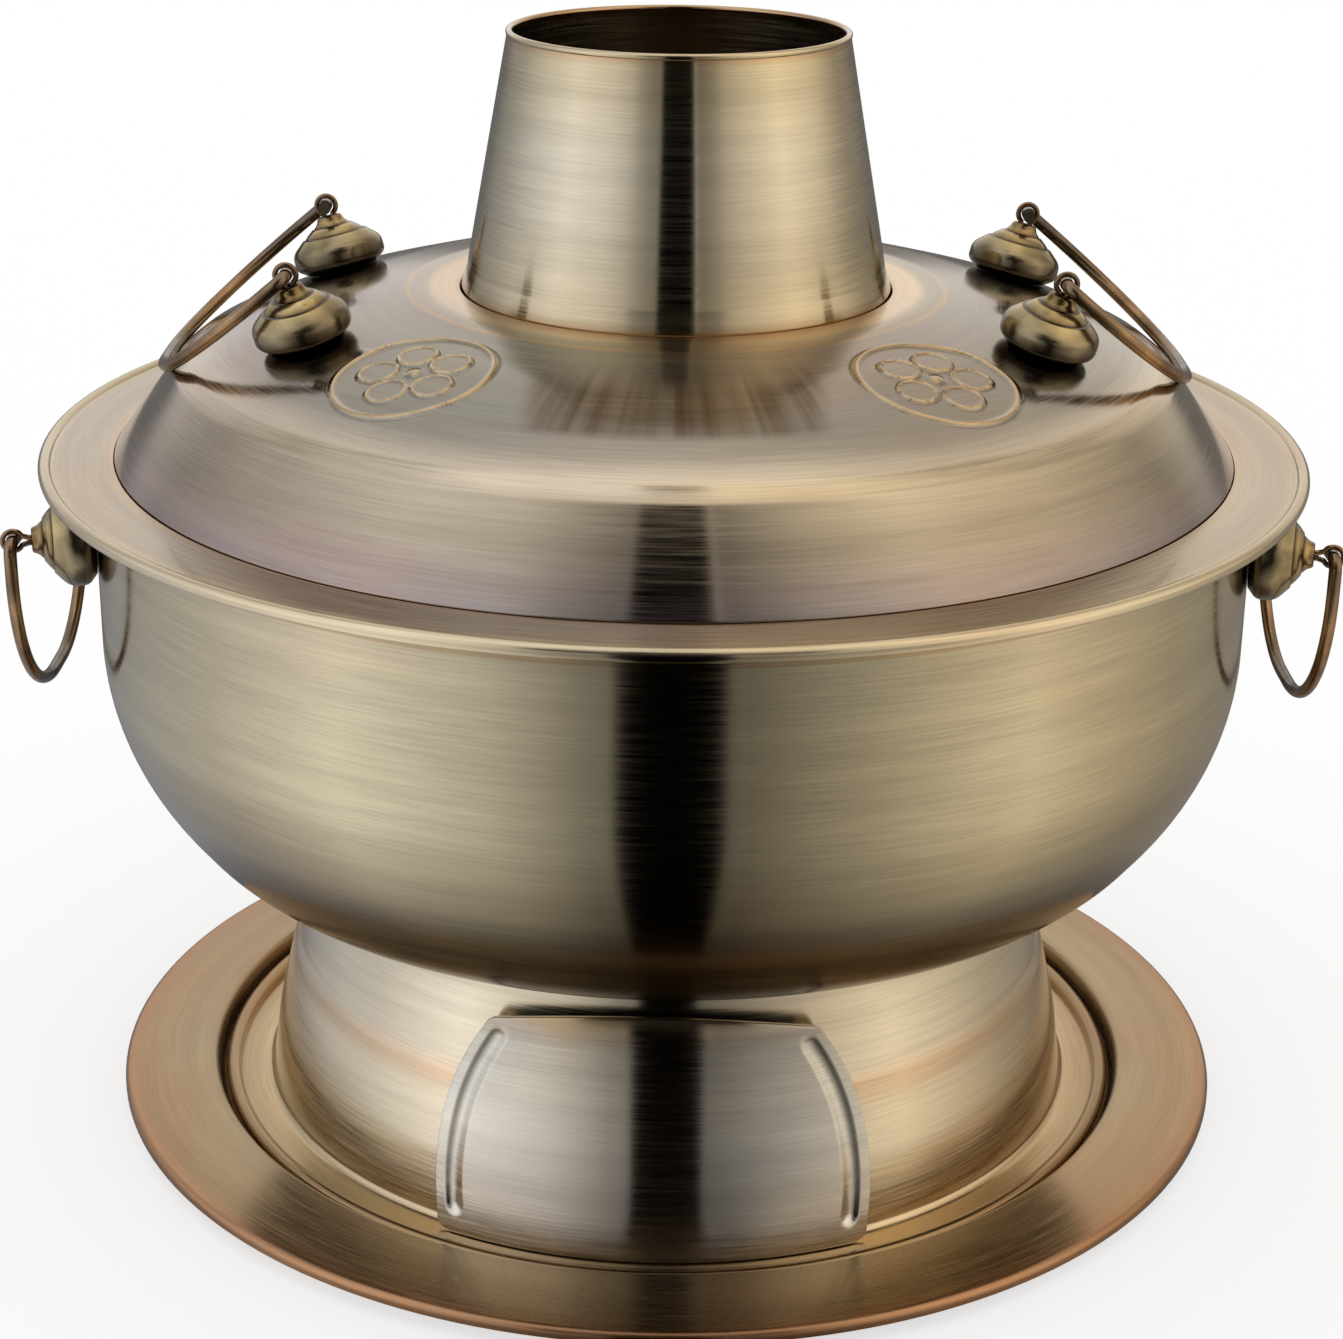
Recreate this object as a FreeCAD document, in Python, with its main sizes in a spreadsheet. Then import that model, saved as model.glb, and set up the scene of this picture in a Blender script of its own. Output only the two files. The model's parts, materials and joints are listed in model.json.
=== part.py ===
import FreeCAD, Part
import math
import os
import Sketcher
from FreeCAD import Placement, Rotation, Vector

# Charcoal hot pot with a central chimney.
# Millimetres, +Z up. The origin is the middle of the tray's underside, on the table.
# The air door faces -Y, and the handles stand at the left (-X) and at the right (+X).

doc = FreeCAD.newDocument("chimney_hot_pot")
sheet = doc.addObject("Spreadsheet::Sheet", "Sizes")

# Each driving size: its name, its value in millimetres or degrees, and what it measures.
DRIVING_SIZES = (
    # sheet metal and running room
    ("gauge", 1.0, "thickness of the spun and pressed sheet"),
    ("tube_gauge", 1.2, "thickness of the fire tube"),
    ("seat_gap", 0.3, "room between a lift-off piece and its seat"),
    ("running_gap", 0.4, "room between pieces that turn or slide past each other"),
    # tray
    ("tray_well_room", 1.2, "room between the foot's bead and the well's wall"),
    ("tray_well_flare", 1.4, "how far the well's wall leans outwards"),
    ("tray_rim_width", 26.1, "width of the tray's rim"),
    ("tray_rim_height", 8.2, "top of the rim at the well"),
    ("tray_rim_fall", 1.0, "fall of the rim from the well to the edge"),
    ("tray_edge_turn", 2.8, "height of the turned-down edge"),
    # foot
    ("foot_neck_inset", 23.5, "neck at the bowl, inside the corner of the bowl's knee"),
    ("foot_neck_flange", 11.5, "width of the neck's inward flange"),
    ("foot_waist_inset", 0.7, "waist inside the neck's top"),
    ("foot_waist_fall", 14.0, "waist below the bowl's floor"),
    ("foot_ridge_reach", 3.5, "ridge outside the waist"),
    ("foot_ridge_fall", 21.5, "ridge below the waist"),
    ("foot_flare_reach", 5.5, "middle of the flare outside the ridge"),
    ("foot_flare_fall", 22.0, "middle of the flare below the ridge"),
    ("foot_base_reach", 2.6, "skirt at its flange, outside the middle of the flare"),
    ("foot_flange_reach", 13.6, "outer edge of the rolled bead outside the skirt"),
    ("foot_flange_rise", 0.6, "flange above the lowest point of the bead"),
    ("foot_bead_wire", 2.2, "radius of the rolled bead"),
    # air opening in the foot, and its sliding door
    ("opening_half", 37.0, "half width of the air opening"),
    ("opening_bottom", 9.0, "lower edge of the air opening"),
    ("opening_top", 53.5, "upper edge of the air opening"),
    ("opening_bend", 6.0, "corner radius of the air opening"),
    ("door_top_reach", 6.1, "door's outer face at its top, outside the waist"),
    ("door_base_reach", 3.4, "door's outer face at its foot, outside the skirt"),
    ("door_height", 59.0, "height of the door at its middle"),
    ("door_top_half", 40.2, "half width of the door at its top"),
    ("door_wide_half", 55.2, "half width of the door at its widest"),
    ("door_wide_rise", 19.0, "height of the widest place above the door's foot"),
    ("door_base_half", 52.0, "half width of the door at its foot"),
    ("door_side_bend", 24.0, "bend radius of the door's sides"),
    ("door_corner_bend", 3.0, "corner radius of the door"),
    ("door_top_fall", 1.8, "how much lower the top edge is at its ends"),
    ("door_top_bend", 300.0, "bend radius of the door's top edge"),
    ("door_turn", 1.9, "how far the door stands to the left of the front"),
    ("rib_inset", 4.7, "outer edge of a rib from the door's side edge"),
    ("rib_width", 2.6, "width of a rib"),
    ("rib_height", 0.9, "height of a rib above the door"),
    ("rib_end_room", 5.0, "room between a rib and the door's ends"),
    ("hook_half", 6.0, "half width of the door's hook"),
    ("hook_seat", 9.0, "length of the hook that lies on the door"),
    ("hook_reach", 5.0, "how far the hook reaches up behind the neck"),
    ("hook_drop", 3.5, "top of the hook below the opening's upper edge"),
    ("hook_room", 0.6, "room between the hook and the inside of the neck"),
    # bowl
    ("bowl_floor_height", 79.0, "underside of the bowl's flat floor"),
    ("bowl_knee_inset", 28.2, "where floor and knee would meet, inside the wall"),
    ("bowl_shoulder_rise", 36.2, "where knee and wall would meet, above the floor"),
    ("bowl_knee_bend", 33.0, "bend radius between floor and knee"),
    ("bowl_shoulder_bend", 72.0, "bend radius between knee and wall"),
    # rim ring
    ("rim_radius", 170.0, "outer edge of the rim ring"),
    ("rim_overhang", 13.8, "rim ring beyond the bowl's wall"),
    ("rim_height", 189.2, "top of the rim ring"),
    ("rim_bead_wire", 1.8, "radius of the ring's rolled edge"),
    ("rim_bead_drop", 0.9, "centre of the rolled edge below the ring's top"),
    ("rim_collar_depth", 8.2, "collar that grips the bowl, below the ring's top"),
    ("rim_lip_depth", 5.0, "lip that hangs inside the bowl, below the lid's seat"),
    ("seat_depth", 3.0, "step in the ring that takes the lid"),
    ("seat_inset", 6.2, "outer edge of the lid's seat, inside the bowl's outer wall"),
    ("seat_width", 4.8, "width of the lid's seat"),
    ("seat_flare", 1.2, "how far the seat's wall leans outwards"),
    # fire tube, grate and chimney
    ("tube_spread", 11.2, "how much wider the fire tube is at the bowl's floor"),
    ("tube_flange", 8.0, "flange that is welded to the bowl's floor"),
    ("tube_drop", 2.4, "top edge of the fire tube below the lid's crown"),
    ("grate_room", 13.1, "room round the charcoal grate, at the tube's foot"),
    ("grate_bearing", 7.0, "how far the grate reaches beyond the draught hole"),
    ("grate_thickness", 4.0, "thickness of the charcoal grate"),
    ("grate_slot", 5.0, "width of a slot in the grate"),
    ("grate_pitch", 11.0, "distance between two slots"),
    ("grate_edge", 6.0, "solid edge left round the slots"),
    ("chimney_base_radius", 57.1, "fire tube and chimney where they meet"),
    ("chimney_taper", 12.5, "how much narrower the chimney is at its mouth"),
    ("chimney_rise", 68.8, "top of the chimney's wall above the fire tube"),
    ("chimney_lip_wire", 0.9, "radius of the rolled lip"),
    ("spigot_room", 0.6, "room between the spigot and the fire tube"),
    ("spigot_depth", 13.0, "spigot that plugs into the fire tube"),
    # lid
    ("lid_room", 1.4, "room between the lid's edge and the outer edge of its seat"),
    ("hem_rise", 3.2, "where the skirt turns down to the lid's edge, above the rim"),
    ("skirt_run", 15.2, "width of the slanting skirt"),
    ("skirt_rise", 19.5, "height of the slanting skirt"),
    ("shoulder_run", 4.0, "width of the lid's round shoulder"),
    ("shoulder_rise", 3.1, "height of the lid's round shoulder"),
    ("lower_dome_run", 16.4, "width of the dome's lower slope"),
    ("lower_dome_rise", 6.9, "height of the dome's lower slope"),
    ("middle_dome_run", 21.0, "width of the dome's middle slope"),
    ("middle_dome_rise", 5.9, "height of the dome's middle slope"),
    ("upper_dome_rise", 3.5, "height of the slope up to the flat crown"),
    ("crown_width", 11.6, "width of the flat crown round the hole"),
    ("hole_room", 0.8, "room between the lid's hole and the chimney"),
    ("hole_turn", 3.0, "height of the turned-down edge of the hole"),
    ("medallion_radius", 22.4, "outer radius of a stamped medallion"),
    ("medallion_ring", 2.2, "width of the medallion's raised ring"),
    ("medallion_relief", 0.7, "height of the stamped relief"),
    ("medallion_inset", 3.5, "middle of a medallion inside the middle of its slope"),
    ("medallion_turn", 40.0, "angle of a medallion from the front"),
    ("petal_radius", 4.9, "petal of the blossom"),
    ("petal_reach", 9.6, "middle of a petal from the medallion's middle"),
    ("blossom_eye", 2.8, "middle of the blossom"),
    # knobs, eye pins and washers
    ("knob_base", 10.0, "radius of a knob's flat base"),
    ("knob_belly", 12.6, "widest part of a knob"),
    ("knob_belly_low", 2.8, "lower edge of the widest part"),
    ("knob_belly_high", 5.6, "upper edge of the widest part"),
    ("knob_shoulder", 9.4, "top of the belly"),
    ("knob_shoulder_rise", 10.1, "height of that place"),
    ("knob_step", 0.8, "width of the two small steps"),
    ("knob_collar", 6.0, "top of the collar above the belly"),
    ("knob_collar_rise", 13.0, "height of that place"),
    ("knob_tip", 3.0, "radius of the tip"),
    ("knob_height", 16.4, "height of a knob"),
    ("pin_radius", 1.4, "shank of an eye pin"),
    ("eye_wire", 1.5, "wire round the eye, across"),
    ("pin_room", 0.2, "room round the shank"),
    ("washer_radius", 5.5, "washer under the splayed legs"),
    ("washer_thickness", 0.8, "thickness of a washer"),
    ("washer_room", 0.15, "room between a flat washer and the curved sheet"),
    ("leg_length", 6.5, "length of a splayed leg"),
    ("leg_thickness", 1.0, "thickness of a splayed leg"),
    ("knob_room", 0.2, "room between a knob and the sheet"),
    ("lid_knob_turn", 23.6, "angle of a lid knob from the X axis"),
    ("lid_eye_rise", 18.1, "lid eye above the sheet"),
    ("lid_knob_cut", 2.4, "how much lower a lid knob is than a bowl knob, cut off its base"),
    ("pot_knob_turn", 13.5, "angle of a bowl knob from the X axis"),
    ("pot_knob_drop", 18.9, "middle of a bowl knob below the rim ring's top"),
    ("pot_eye_rise", 21.4, "bowl eye in front of the wall"),
    # bails
    ("bail_wire", 1.7, "radius of a bail's wire"),
    ("bail_reach", 49.5, "from the pivot to the top of the bow"),
    ("bail_side_room", 0.8, "room between a bail's leg and the eye"),
    ("bail_corner", 3.2, "bend radius at a bail's end"),
    ("bail_flat", 4.4, "half of the straight run in the middle of the bow"),
    ("bail_end", 3.2, "how far a bail's end passes the eye"),
)


class Size:
    """A length or angle that carries its number and its expression on the sheet."""

    def __init__(self, value, text):
        self.value = float(value)
        self.text = text

    @staticmethod
    def of(other):
        return other if isinstance(other, Size) else Size(other, str(other))

    def combined(self, sign, other, value):
        return Size(value, "(" + self.text + " " + sign + " " + other.text + ")")

    def __add__(self, other):
        other = Size.of(other)
        return self.combined("+", other, self.value + other.value)

    def __sub__(self, other):
        other = Size.of(other)
        return self.combined("-", other, self.value - other.value)

    def __mul__(self, other):
        other = Size.of(other)
        return self.combined("*", other, self.value * other.value)

    def __truediv__(self, other):
        other = Size.of(other)
        return self.combined("/", other, self.value / other.value)

    def __neg__(self):
        return Size(-self.value, "(0 - " + self.text + ")")


class Sizes:
    """The driving sizes by name, such as size.gauge."""


size = Sizes()
for row, (alias, number, meaning) in enumerate(DRIVING_SIZES, start=1):
    sheet.set("A%d" % row, meaning)
    sheet.set("B%d" % row, str(number))
    sheet.setAlias("B%d" % row, alias)
    setattr(size, alias, Size(number, "Sizes." + alias))
doc.recompute()

# Sizes that follow from others, because the piece fits, seats on or lines up with its
# neighbour. From the rim inwards: bowl, seat and lid.
size.bowl_radius = size.rim_radius - size.rim_overhang
size.seat_radius = size.bowl_radius - size.seat_inset
size.rim_inner_radius = size.seat_radius - size.seat_width
size.edge_radius = size.seat_radius - size.lid_room
size.brow_radius = size.edge_radius - size.skirt_run
size.shoulder_radius = size.brow_radius - size.shoulder_run
size.lower_dome_radius = size.shoulder_radius - size.lower_dome_run
size.upper_dome_radius = size.lower_dome_radius - size.middle_dome_run
size.hole_radius = size.chimney_base_radius + size.hole_room
size.crown_radius = size.hole_radius + size.crown_width
# From the rim upwards: lid, fire tube and chimney.
size.hem_height = size.rim_height + size.hem_rise
size.brow_height = size.hem_height + size.skirt_rise
size.shoulder_height = size.brow_height + size.shoulder_rise
size.lower_dome_height = size.shoulder_height + size.lower_dome_rise
size.upper_dome_height = size.lower_dome_height + size.middle_dome_rise
size.crown_height = size.upper_dome_height + size.upper_dome_rise
size.tube_height = size.crown_height - size.tube_drop
size.chimney_height = size.tube_height + size.chimney_rise
# From the chimney downwards: fire tube, grate and draught hole.
size.chimney_top_radius = size.chimney_base_radius - size.chimney_taper
size.tube_base_radius = size.chimney_base_radius + size.tube_spread
size.grate_radius = size.tube_base_radius - size.tube_gauge - size.grate_room
size.draught_radius = size.grate_radius - size.grate_bearing
# From the bowl downwards: knee, foot, air door and tray.
size.bowl_knee_radius = size.bowl_radius - size.bowl_knee_inset
size.bowl_shoulder_height = size.bowl_floor_height + size.bowl_shoulder_rise
size.foot_neck_radius = size.bowl_knee_radius - size.foot_neck_inset
size.foot_waist_radius = size.foot_neck_radius - size.foot_waist_inset
size.foot_waist_height = size.bowl_floor_height - size.foot_waist_fall
size.foot_ridge_radius = size.foot_waist_radius + size.foot_ridge_reach
size.foot_ridge_height = size.foot_waist_height - size.foot_ridge_fall
size.foot_flare_radius = size.foot_ridge_radius + size.foot_flare_reach
size.foot_flare_height = size.foot_ridge_height - size.foot_flare_fall
size.foot_base_radius = size.foot_flare_radius + size.foot_base_reach
size.foot_bead_outer = size.foot_base_radius + size.foot_flange_reach
size.door_top_radius = size.foot_waist_radius + size.door_top_reach
size.door_base_radius = size.foot_base_radius + size.door_base_reach
size.tray_well_radius = size.foot_bead_outer + size.tray_well_room
size.tray_radius = size.tray_well_radius + size.tray_well_flare + size.tray_rim_width
size.pot_knob_height = size.rim_height - size.pot_knob_drop

ZERO = Size(0, "0")
QUARTER_TURN = Size(90, "90")
# Half a side of an eight-sided section, as a share of the distance to its sides.
EIGHTH = Size(math.tan(math.radians(22.5)), "tan(22.5deg)")


def sine(angle):
    return Size(math.sin(math.radians(angle.value)), "sin(" + angle.text + " * 1deg)")


def cosine(angle):
    return Size(math.cos(math.radians(angle.value)), "cos(" + angle.text + " * 1deg)")


def arctangent(rise, run):
    value = math.degrees(math.atan2(rise.value, run.value))
    return Size(value, "(atan2(" + rise.text + "; " + run.text + ") / 1deg)")


# ------------------------------------------------------------------- helpers

SHEET_PLANE = Placement(Vector(0, 0, 0), Rotation(Vector(1, 0, 0), 90))


class Corner:
    """A corner of an outline, across and up, with the radius of its bend if it has one."""

    def __init__(self, across, up, bend=None):
        self.across = Size.of(across)
        self.up = Size.of(up)
        self.bend = bend
        self.point = Vector(self.across.value, self.up.value, 0)


def held_point(curve, end, corner, label):
    """The constraints that tie one point of a sketch to its place on the sheet."""
    held = []
    for axis, length, kind in ((-2, corner.across, "DistanceX"), (-1, corner.up, "DistanceY")):
        if length.value == 0:
            held.append((Sketcher.Constraint("PointOnObject", curve, end, axis), None, None))
        else:
            constraint = Sketcher.Constraint(kind, -1, 1, curve, end, length.value)
            held.append((constraint, label + kind[-1], length.text))
    return held


def bend_arc(before, corner, after):
    """The arc that rounds a corner, and whether it turns to the left."""
    arriving = (corner.point - before.point).normalize()
    leaving = (after.point - corner.point).normalize()
    turn = arriving.getAngle(leaving)
    left = arriving.cross(leaving).z > 0
    radius = corner.bend.value
    start = corner.point - arriving * radius * math.tan(turn / 2)
    side = Vector(-arriving.y, arriving.x, 0) * (radius if left else -radius)
    centre = start + side
    heading = math.atan2(start.y - centre.y, start.x - centre.x)
    circle = Part.Circle(centre, Vector(0, 0, 1), radius)
    if left:
        return Part.ArcOfCircle(circle, heading, heading + turn), left
    return Part.ArcOfCircle(circle, heading - turn, heading), left


def bent_corner(line, arc, mark, after, left, corner, label):
    """The constraints of a bend: it touches both runs, and its corner stays in place."""
    into, out = (1, 2) if left else (2, 1)
    radius = Sketcher.Constraint("Radius", arc, corner.bend.value)
    return [
        (Sketcher.Constraint("Tangent", line, 2, arc, into), None, None),
        (Sketcher.Constraint("Tangent", after, 1, arc, out), None, None),
        (Sketcher.Constraint("PointOnObject", mark, 1, line), None, None),
        (Sketcher.Constraint("PointOnObject", mark, 1, after), None, None),
        (radius, label + "bend", corner.bend.text),
    ] + held_point(mark, 1, corner, label)


def outline(name, corners, closed=False, plane=SHEET_PLANE):
    """A sketch of straight runs between corners, with a tangent arc at each bend."""
    sketch = doc.addObject("Sketcher::SketchObject", name)
    count = len(corners)
    runs = count if closed else count - 1
    ends = [[corners[index].point, corners[(index + 1) % count].point] for index in range(runs)]
    bends = []
    rules = []
    for index, corner in enumerate(corners):
        label = "corner%d" % index
        before = (index - 1) % count
        if not closed and index in (0, count - 1):
            line, end = (0, 1) if index == 0 else (runs - 1, 2)
            rules += held_point(line, end, corner, label)
        elif corner.bend is None:
            rules.append((Sketcher.Constraint("Coincident", before, 2, index, 1), None, None))
            rules += held_point(index, 1, corner, label)
        else:
            arc, left = bend_arc(corners[before], corner, corners[(index + 1) % count])
            ends[before][1] = arc.StartPoint if left else arc.EndPoint
            ends[index][0] = arc.EndPoint if left else arc.StartPoint
            place = runs + len(bends)
            bends += [(arc, False), (Part.Point(corner.point), True)]
            rules += bent_corner(before, place, place + 1, index, left, corner, label)
    for first, last in ends:
        sketch.addGeometry(Part.LineSegment(first, last), False)
    for curve, construction in bends:
        sketch.addGeometry(curve, construction)
    placed_rules = sketch.addConstraint([rule for rule, _, _ in rules])
    for place, (_, label, text) in zip(placed_rules, rules):
        if label is not None:
            sketch.renameConstraint(place, label)
            sketch.setExpression("Constraints." + label, text)
    sketch.Placement = plane
    return sketch


def thick_face(name, sketch, thickness):
    """The section of a sheet: the outline and its copy on the right-hand side."""
    face = doc.addObject("Part::Offset2D", name)
    face.Source = sketch
    face.Mode = "Skin"
    face.Join = "Intersection"
    face.Fill = True
    face.Value = -thickness.value
    face.setExpression("Value", (-thickness).text)
    return face


def plain_face(name, sketch):
    face = doc.addObject("Part::Face", name)
    face.Sources = [sketch]
    face.FaceMakerClass = "Part::FaceMakerBullseye"
    return face


def spun(name, face, angle=None):
    """A section turned about the Z axis, the whole way round or through an angle."""
    body = doc.addObject("Part::Revolution", name)
    body.Source = face
    body.Axis = Vector(0, 0, 1)
    body.Base = Vector(0, 0, 0)
    body.Solid = True
    body.Angle = 360
    if angle is not None:
        body.setExpression("Angle", angle.text)
    return body


def spun_sheet(name, corners, thickness):
    sketch = outline(name + "_outline", corners)
    return spun(name + "_shell", thick_face(name + "_section", sketch, thickness))


def placed(item, across, along, up, axis=(0, 0, 1), angle=ZERO):
    """Binds an object's placement: its place, and a turn about an axis."""
    place = "; ".join(Size.of(part).text for part in (across, along, up))
    about = "; ".join(Size.of(part).text for part in axis)
    turn = "create(<<rotation>>; create(<<vector>>; " + about + "); " + angle.text + ")"
    spot = "create(<<vector>>; " + place + ")"
    item.setExpression("Placement", "create(<<placement>>; " + spot + "; " + turn + ")")
    return item


def cylinder(name, radius, height):
    item = doc.addObject("Part::Cylinder", name)
    item.setExpression("Radius", radius.text)
    item.setExpression("Height", height.text)
    return item


def box(name, length, width, height):
    item = doc.addObject("Part::Box", name)
    item.setExpression("Length", length.text)
    item.setExpression("Width", width.text)
    item.setExpression("Height", height.text)
    return item


def ring(name, centre_radius, wire, up):
    """A rolled edge: a solid ring with an eight-sided section."""
    flat = wire * EIGHTH
    return spun(name, plain_face(name + "_face", outline(name + "_outline", (
        Corner(centre_radius + wire, up - flat),
        Corner(centre_radius + wire, up + flat),
        Corner(centre_radius + flat, up + wire),
        Corner(centre_radius - flat, up + wire),
        Corner(centre_radius - wire, up + flat),
        Corner(centre_radius - wire, up - flat),
        Corner(centre_radius - flat, up - wire),
        Corner(centre_radius + flat, up - wire),
    ), closed=True)))


def cut(name, base, tool):
    item = doc.addObject("Part::Cut", name)
    item.Base = base
    item.Tool = tool
    return item


def fused(name, *shapes):
    item = doc.addObject("Part::MultiFuse", name)
    item.Shapes = list(shapes)
    item.Refine = True
    return item


def common(name, base, tool):
    item = doc.addObject("Part::Common", name)
    item.Base = base
    item.Tool = tool
    return item


def together(name, *shapes):
    item = doc.addObject("Part::Compound", name)
    item.Links = list(shapes)
    return item


def mirrored(name, source, normal):
    item = doc.addObject("Part::Mirroring", name)
    item.Source = source
    item.Base = Vector(0, 0, 0)
    item.Normal = normal
    return item


def prism_forward(name, face, depth):
    """A face in the XZ plane, carried forward along -Y."""
    item = doc.addObject("Part::Extrusion", name)
    item.Base = face
    item.DirMode = "Custom"
    item.Dir = Vector(0, -1, 0)
    item.Solid = True
    item.setExpression("LengthFwd", depth.text)
    return item


nodes = {}


def node(name, item):
    """Names the finished sub-part."""
    item.Label = name
    nodes[name] = item
    return item


TO_THE_RIGHT = Vector(1, 0, 0)
TO_THE_BACK = Vector(0, 1, 0)


# ---------------------------------------------------------------------- tray
# A spun saucer: flat well, steep wall, nearly level rim and a turned-down edge.
# It rests on its flat underside.

tray_edge_height = size.tray_rim_height - size.tray_rim_fall
node("tray", spun_sheet("tray", (
    Corner(ZERO, size.gauge),
    Corner(size.tray_well_radius, size.gauge),
    Corner(size.tray_well_radius + size.tray_well_flare, size.tray_rim_height),
    Corner(size.tray_radius, tray_edge_height),
    Corner(size.tray_radius, tray_edge_height - size.tray_edge_turn),
), size.gauge))


# ---------------------------------------------------------------------- foot
# A spun skirt with a ridge below its neck. Its flange ends in a rolled bead that
# stands in the tray's well, and an opening at the front lets air to the charcoal.

bead_radius = size.foot_bead_outer - size.foot_bead_wire
bead_bottom = size.gauge + size.seat_gap
bead_height = bead_bottom + size.foot_bead_wire
flange_top = bead_bottom + size.foot_flange_rise + size.gauge
skirt = spun_sheet("foot", (
    Corner(size.foot_neck_radius - size.foot_neck_flange, size.bowl_floor_height),
    Corner(size.foot_neck_radius, size.bowl_floor_height),
    Corner(size.foot_waist_radius, size.foot_waist_height),
    Corner(size.foot_ridge_radius, size.foot_ridge_height),
    Corner(size.foot_flare_radius, size.foot_flare_height),
    Corner(size.foot_base_radius, flange_top),
    Corner(bead_radius, flange_top),
), size.gauge)
opening_outline = outline("opening_outline", (
    Corner(-size.opening_half, size.opening_bottom, size.opening_bend),
    Corner(size.opening_half, size.opening_bottom, size.opening_bend),
    Corner(size.opening_half, size.opening_top, size.opening_bend),
    Corner(-size.opening_half, size.opening_top, size.opening_bend),
), closed=True)
opening_face = plain_face("opening_face", opening_outline)
opening = prism_forward("opening", opening_face, size.foot_bead_outer)
foot_bead = ring("foot_bead", bead_radius, size.foot_bead_wire, bead_height)
beaded_skirt = fused("beaded_skirt", skirt, foot_bead)
node("foot_skirt", cut("open_skirt", beaded_skirt, opening))


# ---------------------------------------------------------------------- bowl
# A spun bowl with a straight wall, a round shoulder and knee, and a flat floor
# with a draught hole in the middle.

floor_top = size.bowl_floor_height + size.gauge
bowl = spun_sheet("bowl", (
    Corner(size.bowl_radius, size.rim_height - size.gauge),
    Corner(size.bowl_radius, size.bowl_shoulder_height, size.bowl_shoulder_bend),
    Corner(size.bowl_knee_radius, size.bowl_floor_height, size.bowl_knee_bend),
    Corner(size.draught_radius, size.bowl_floor_height),
), size.gauge)


# ------------------------------------------------------------------ rim ring
# A flat ring on the bowl's edge: rolled outside, stepped inside to seat the lid,
# with a lip that hangs into the bowl and a collar round the bowl's wall.

seat_height = size.rim_height - size.seat_depth
ring_shell = spun_sheet("rim", (
    Corner(size.rim_inner_radius, seat_height - size.rim_lip_depth),
    Corner(size.rim_inner_radius, seat_height),
    Corner(size.seat_radius, seat_height),
    Corner(size.seat_radius + size.seat_flare, size.rim_height),
    Corner(size.rim_radius - size.rim_bead_wire, size.rim_height),
), size.gauge)
rim_bead = ring("rim_bead", size.rim_radius - size.rim_bead_wire, size.rim_bead_wire,
                size.rim_height - size.rim_bead_drop)
collar_base = size.rim_height - size.rim_collar_depth
collar_top = size.rim_height - size.gauge * 0.5
collar = spun("collar", plain_face("collar_face", outline("collar_outline", (
    Corner(size.bowl_radius, collar_base),
    Corner(size.bowl_radius + size.gauge, collar_base),
    Corner(size.bowl_radius + size.gauge, collar_top),
    Corner(size.bowl_radius, collar_top),
), closed=True)))
node("rim_ring", fused("beaded_ring", ring_shell, rim_bead, collar))


# ---------------------------------------------------- fire tube and its grate
# A tapered tube welded to the bowl's floor. A slotted iron grate lies inside it,
# over the draught hole.

node("fire_tube", spun_sheet("tube", (
    Corner(size.chimney_base_radius, size.tube_height),
    Corner(size.tube_base_radius, floor_top + size.tube_gauge),
    Corner(size.tube_base_radius + size.tube_flange, floor_top + size.tube_gauge),
), size.tube_gauge))

slotted_radius = size.grate_radius - size.grate_edge
grate_disc = cylinder("grate_disc", size.grate_radius, size.grate_thickness)
placed(grate_disc, ZERO, ZERO, floor_top)
slot_room = cylinder("slot_room", slotted_radius, size.grate_thickness)
placed(slot_room, ZERO, ZERO, floor_top)
slots_each_side = int(slotted_radius.value // size.grate_pitch.value)
slot_bars = []
for step in range(-slots_each_side, slots_each_side + 1):
    bar_name = "slot_bar_%d" % (step + slots_each_side)
    bar = box(bar_name, size.grate_slot, slotted_radius * 2, size.grate_thickness)
    bar_start = size.grate_pitch * step - size.grate_slot * 0.5
    slot_bars.append(placed(bar, bar_start, -slotted_radius, floor_top))
slots = common("slots", together("slot_bars", *slot_bars), slot_room)
node("charcoal_grate", cut("slotted_disc", grate_disc, slots))


# ------------------------------------------------------------------- chimney
# A tapered flue with a rolled lip. Its step rests on the fire tube's top edge, and
# the spigot below the step plugs into the tube.

step_height = size.tube_height + size.seat_gap
spigot_radius = size.chimney_base_radius - size.tube_gauge - size.spigot_room
chimney_shell = spun_sheet("chimney", (
    Corner(size.chimney_top_radius, size.chimney_height),
    Corner(size.chimney_base_radius, step_height),
    Corner(spigot_radius, step_height),
    Corner(spigot_radius, step_height - size.spigot_depth),
), size.gauge)
lip_radius = size.chimney_top_radius - size.gauge * 0.5
lip = ring("chimney_lip", lip_radius, size.chimney_lip_wire, size.chimney_height)
node("chimney", fused("lipped_chimney", chimney_shell, lip))


# ----------------------------------------------------------------------- lid
# A spun dome with a flat crown round the chimney and a slanting skirt. Two stamped
# medallions stand on its front, each a ring round a five-petalled blossom.

lid_corners = (
    Corner(size.hole_radius, size.crown_height - size.hole_turn),
    Corner(size.hole_radius, size.crown_height),
    Corner(size.crown_radius, size.crown_height),
    Corner(size.upper_dome_radius, size.upper_dome_height),
    Corner(size.lower_dome_radius, size.lower_dome_height),
    Corner(size.shoulder_radius, size.shoulder_height),
    Corner(size.brow_radius, size.brow_height),
    Corner(size.edge_radius, size.hem_height),
    Corner(size.edge_radius, seat_height + size.seat_gap),
)
lid_outline = outline("lid_outline", lid_corners)
lid_shell = spun("lid_shell", thick_face("lid_section", lid_outline, size.gauge))
relief_shell = spun("relief_shell", thick_face("relief_section", lid_outline, -size.medallion_relief))


# ------------------------------------------------- knobs, eye pins and washers
# Eight turned knobs stand off the sheet, four on the lid and four on the bowl. An
# eye pin passes through each knob and the sheet, and its legs splay over a washer.

shank_hole = size.pin_radius + size.pin_room
eye_hole = size.bail_wire + size.running_gap
eye_radius = eye_hole + size.eye_wire


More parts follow.
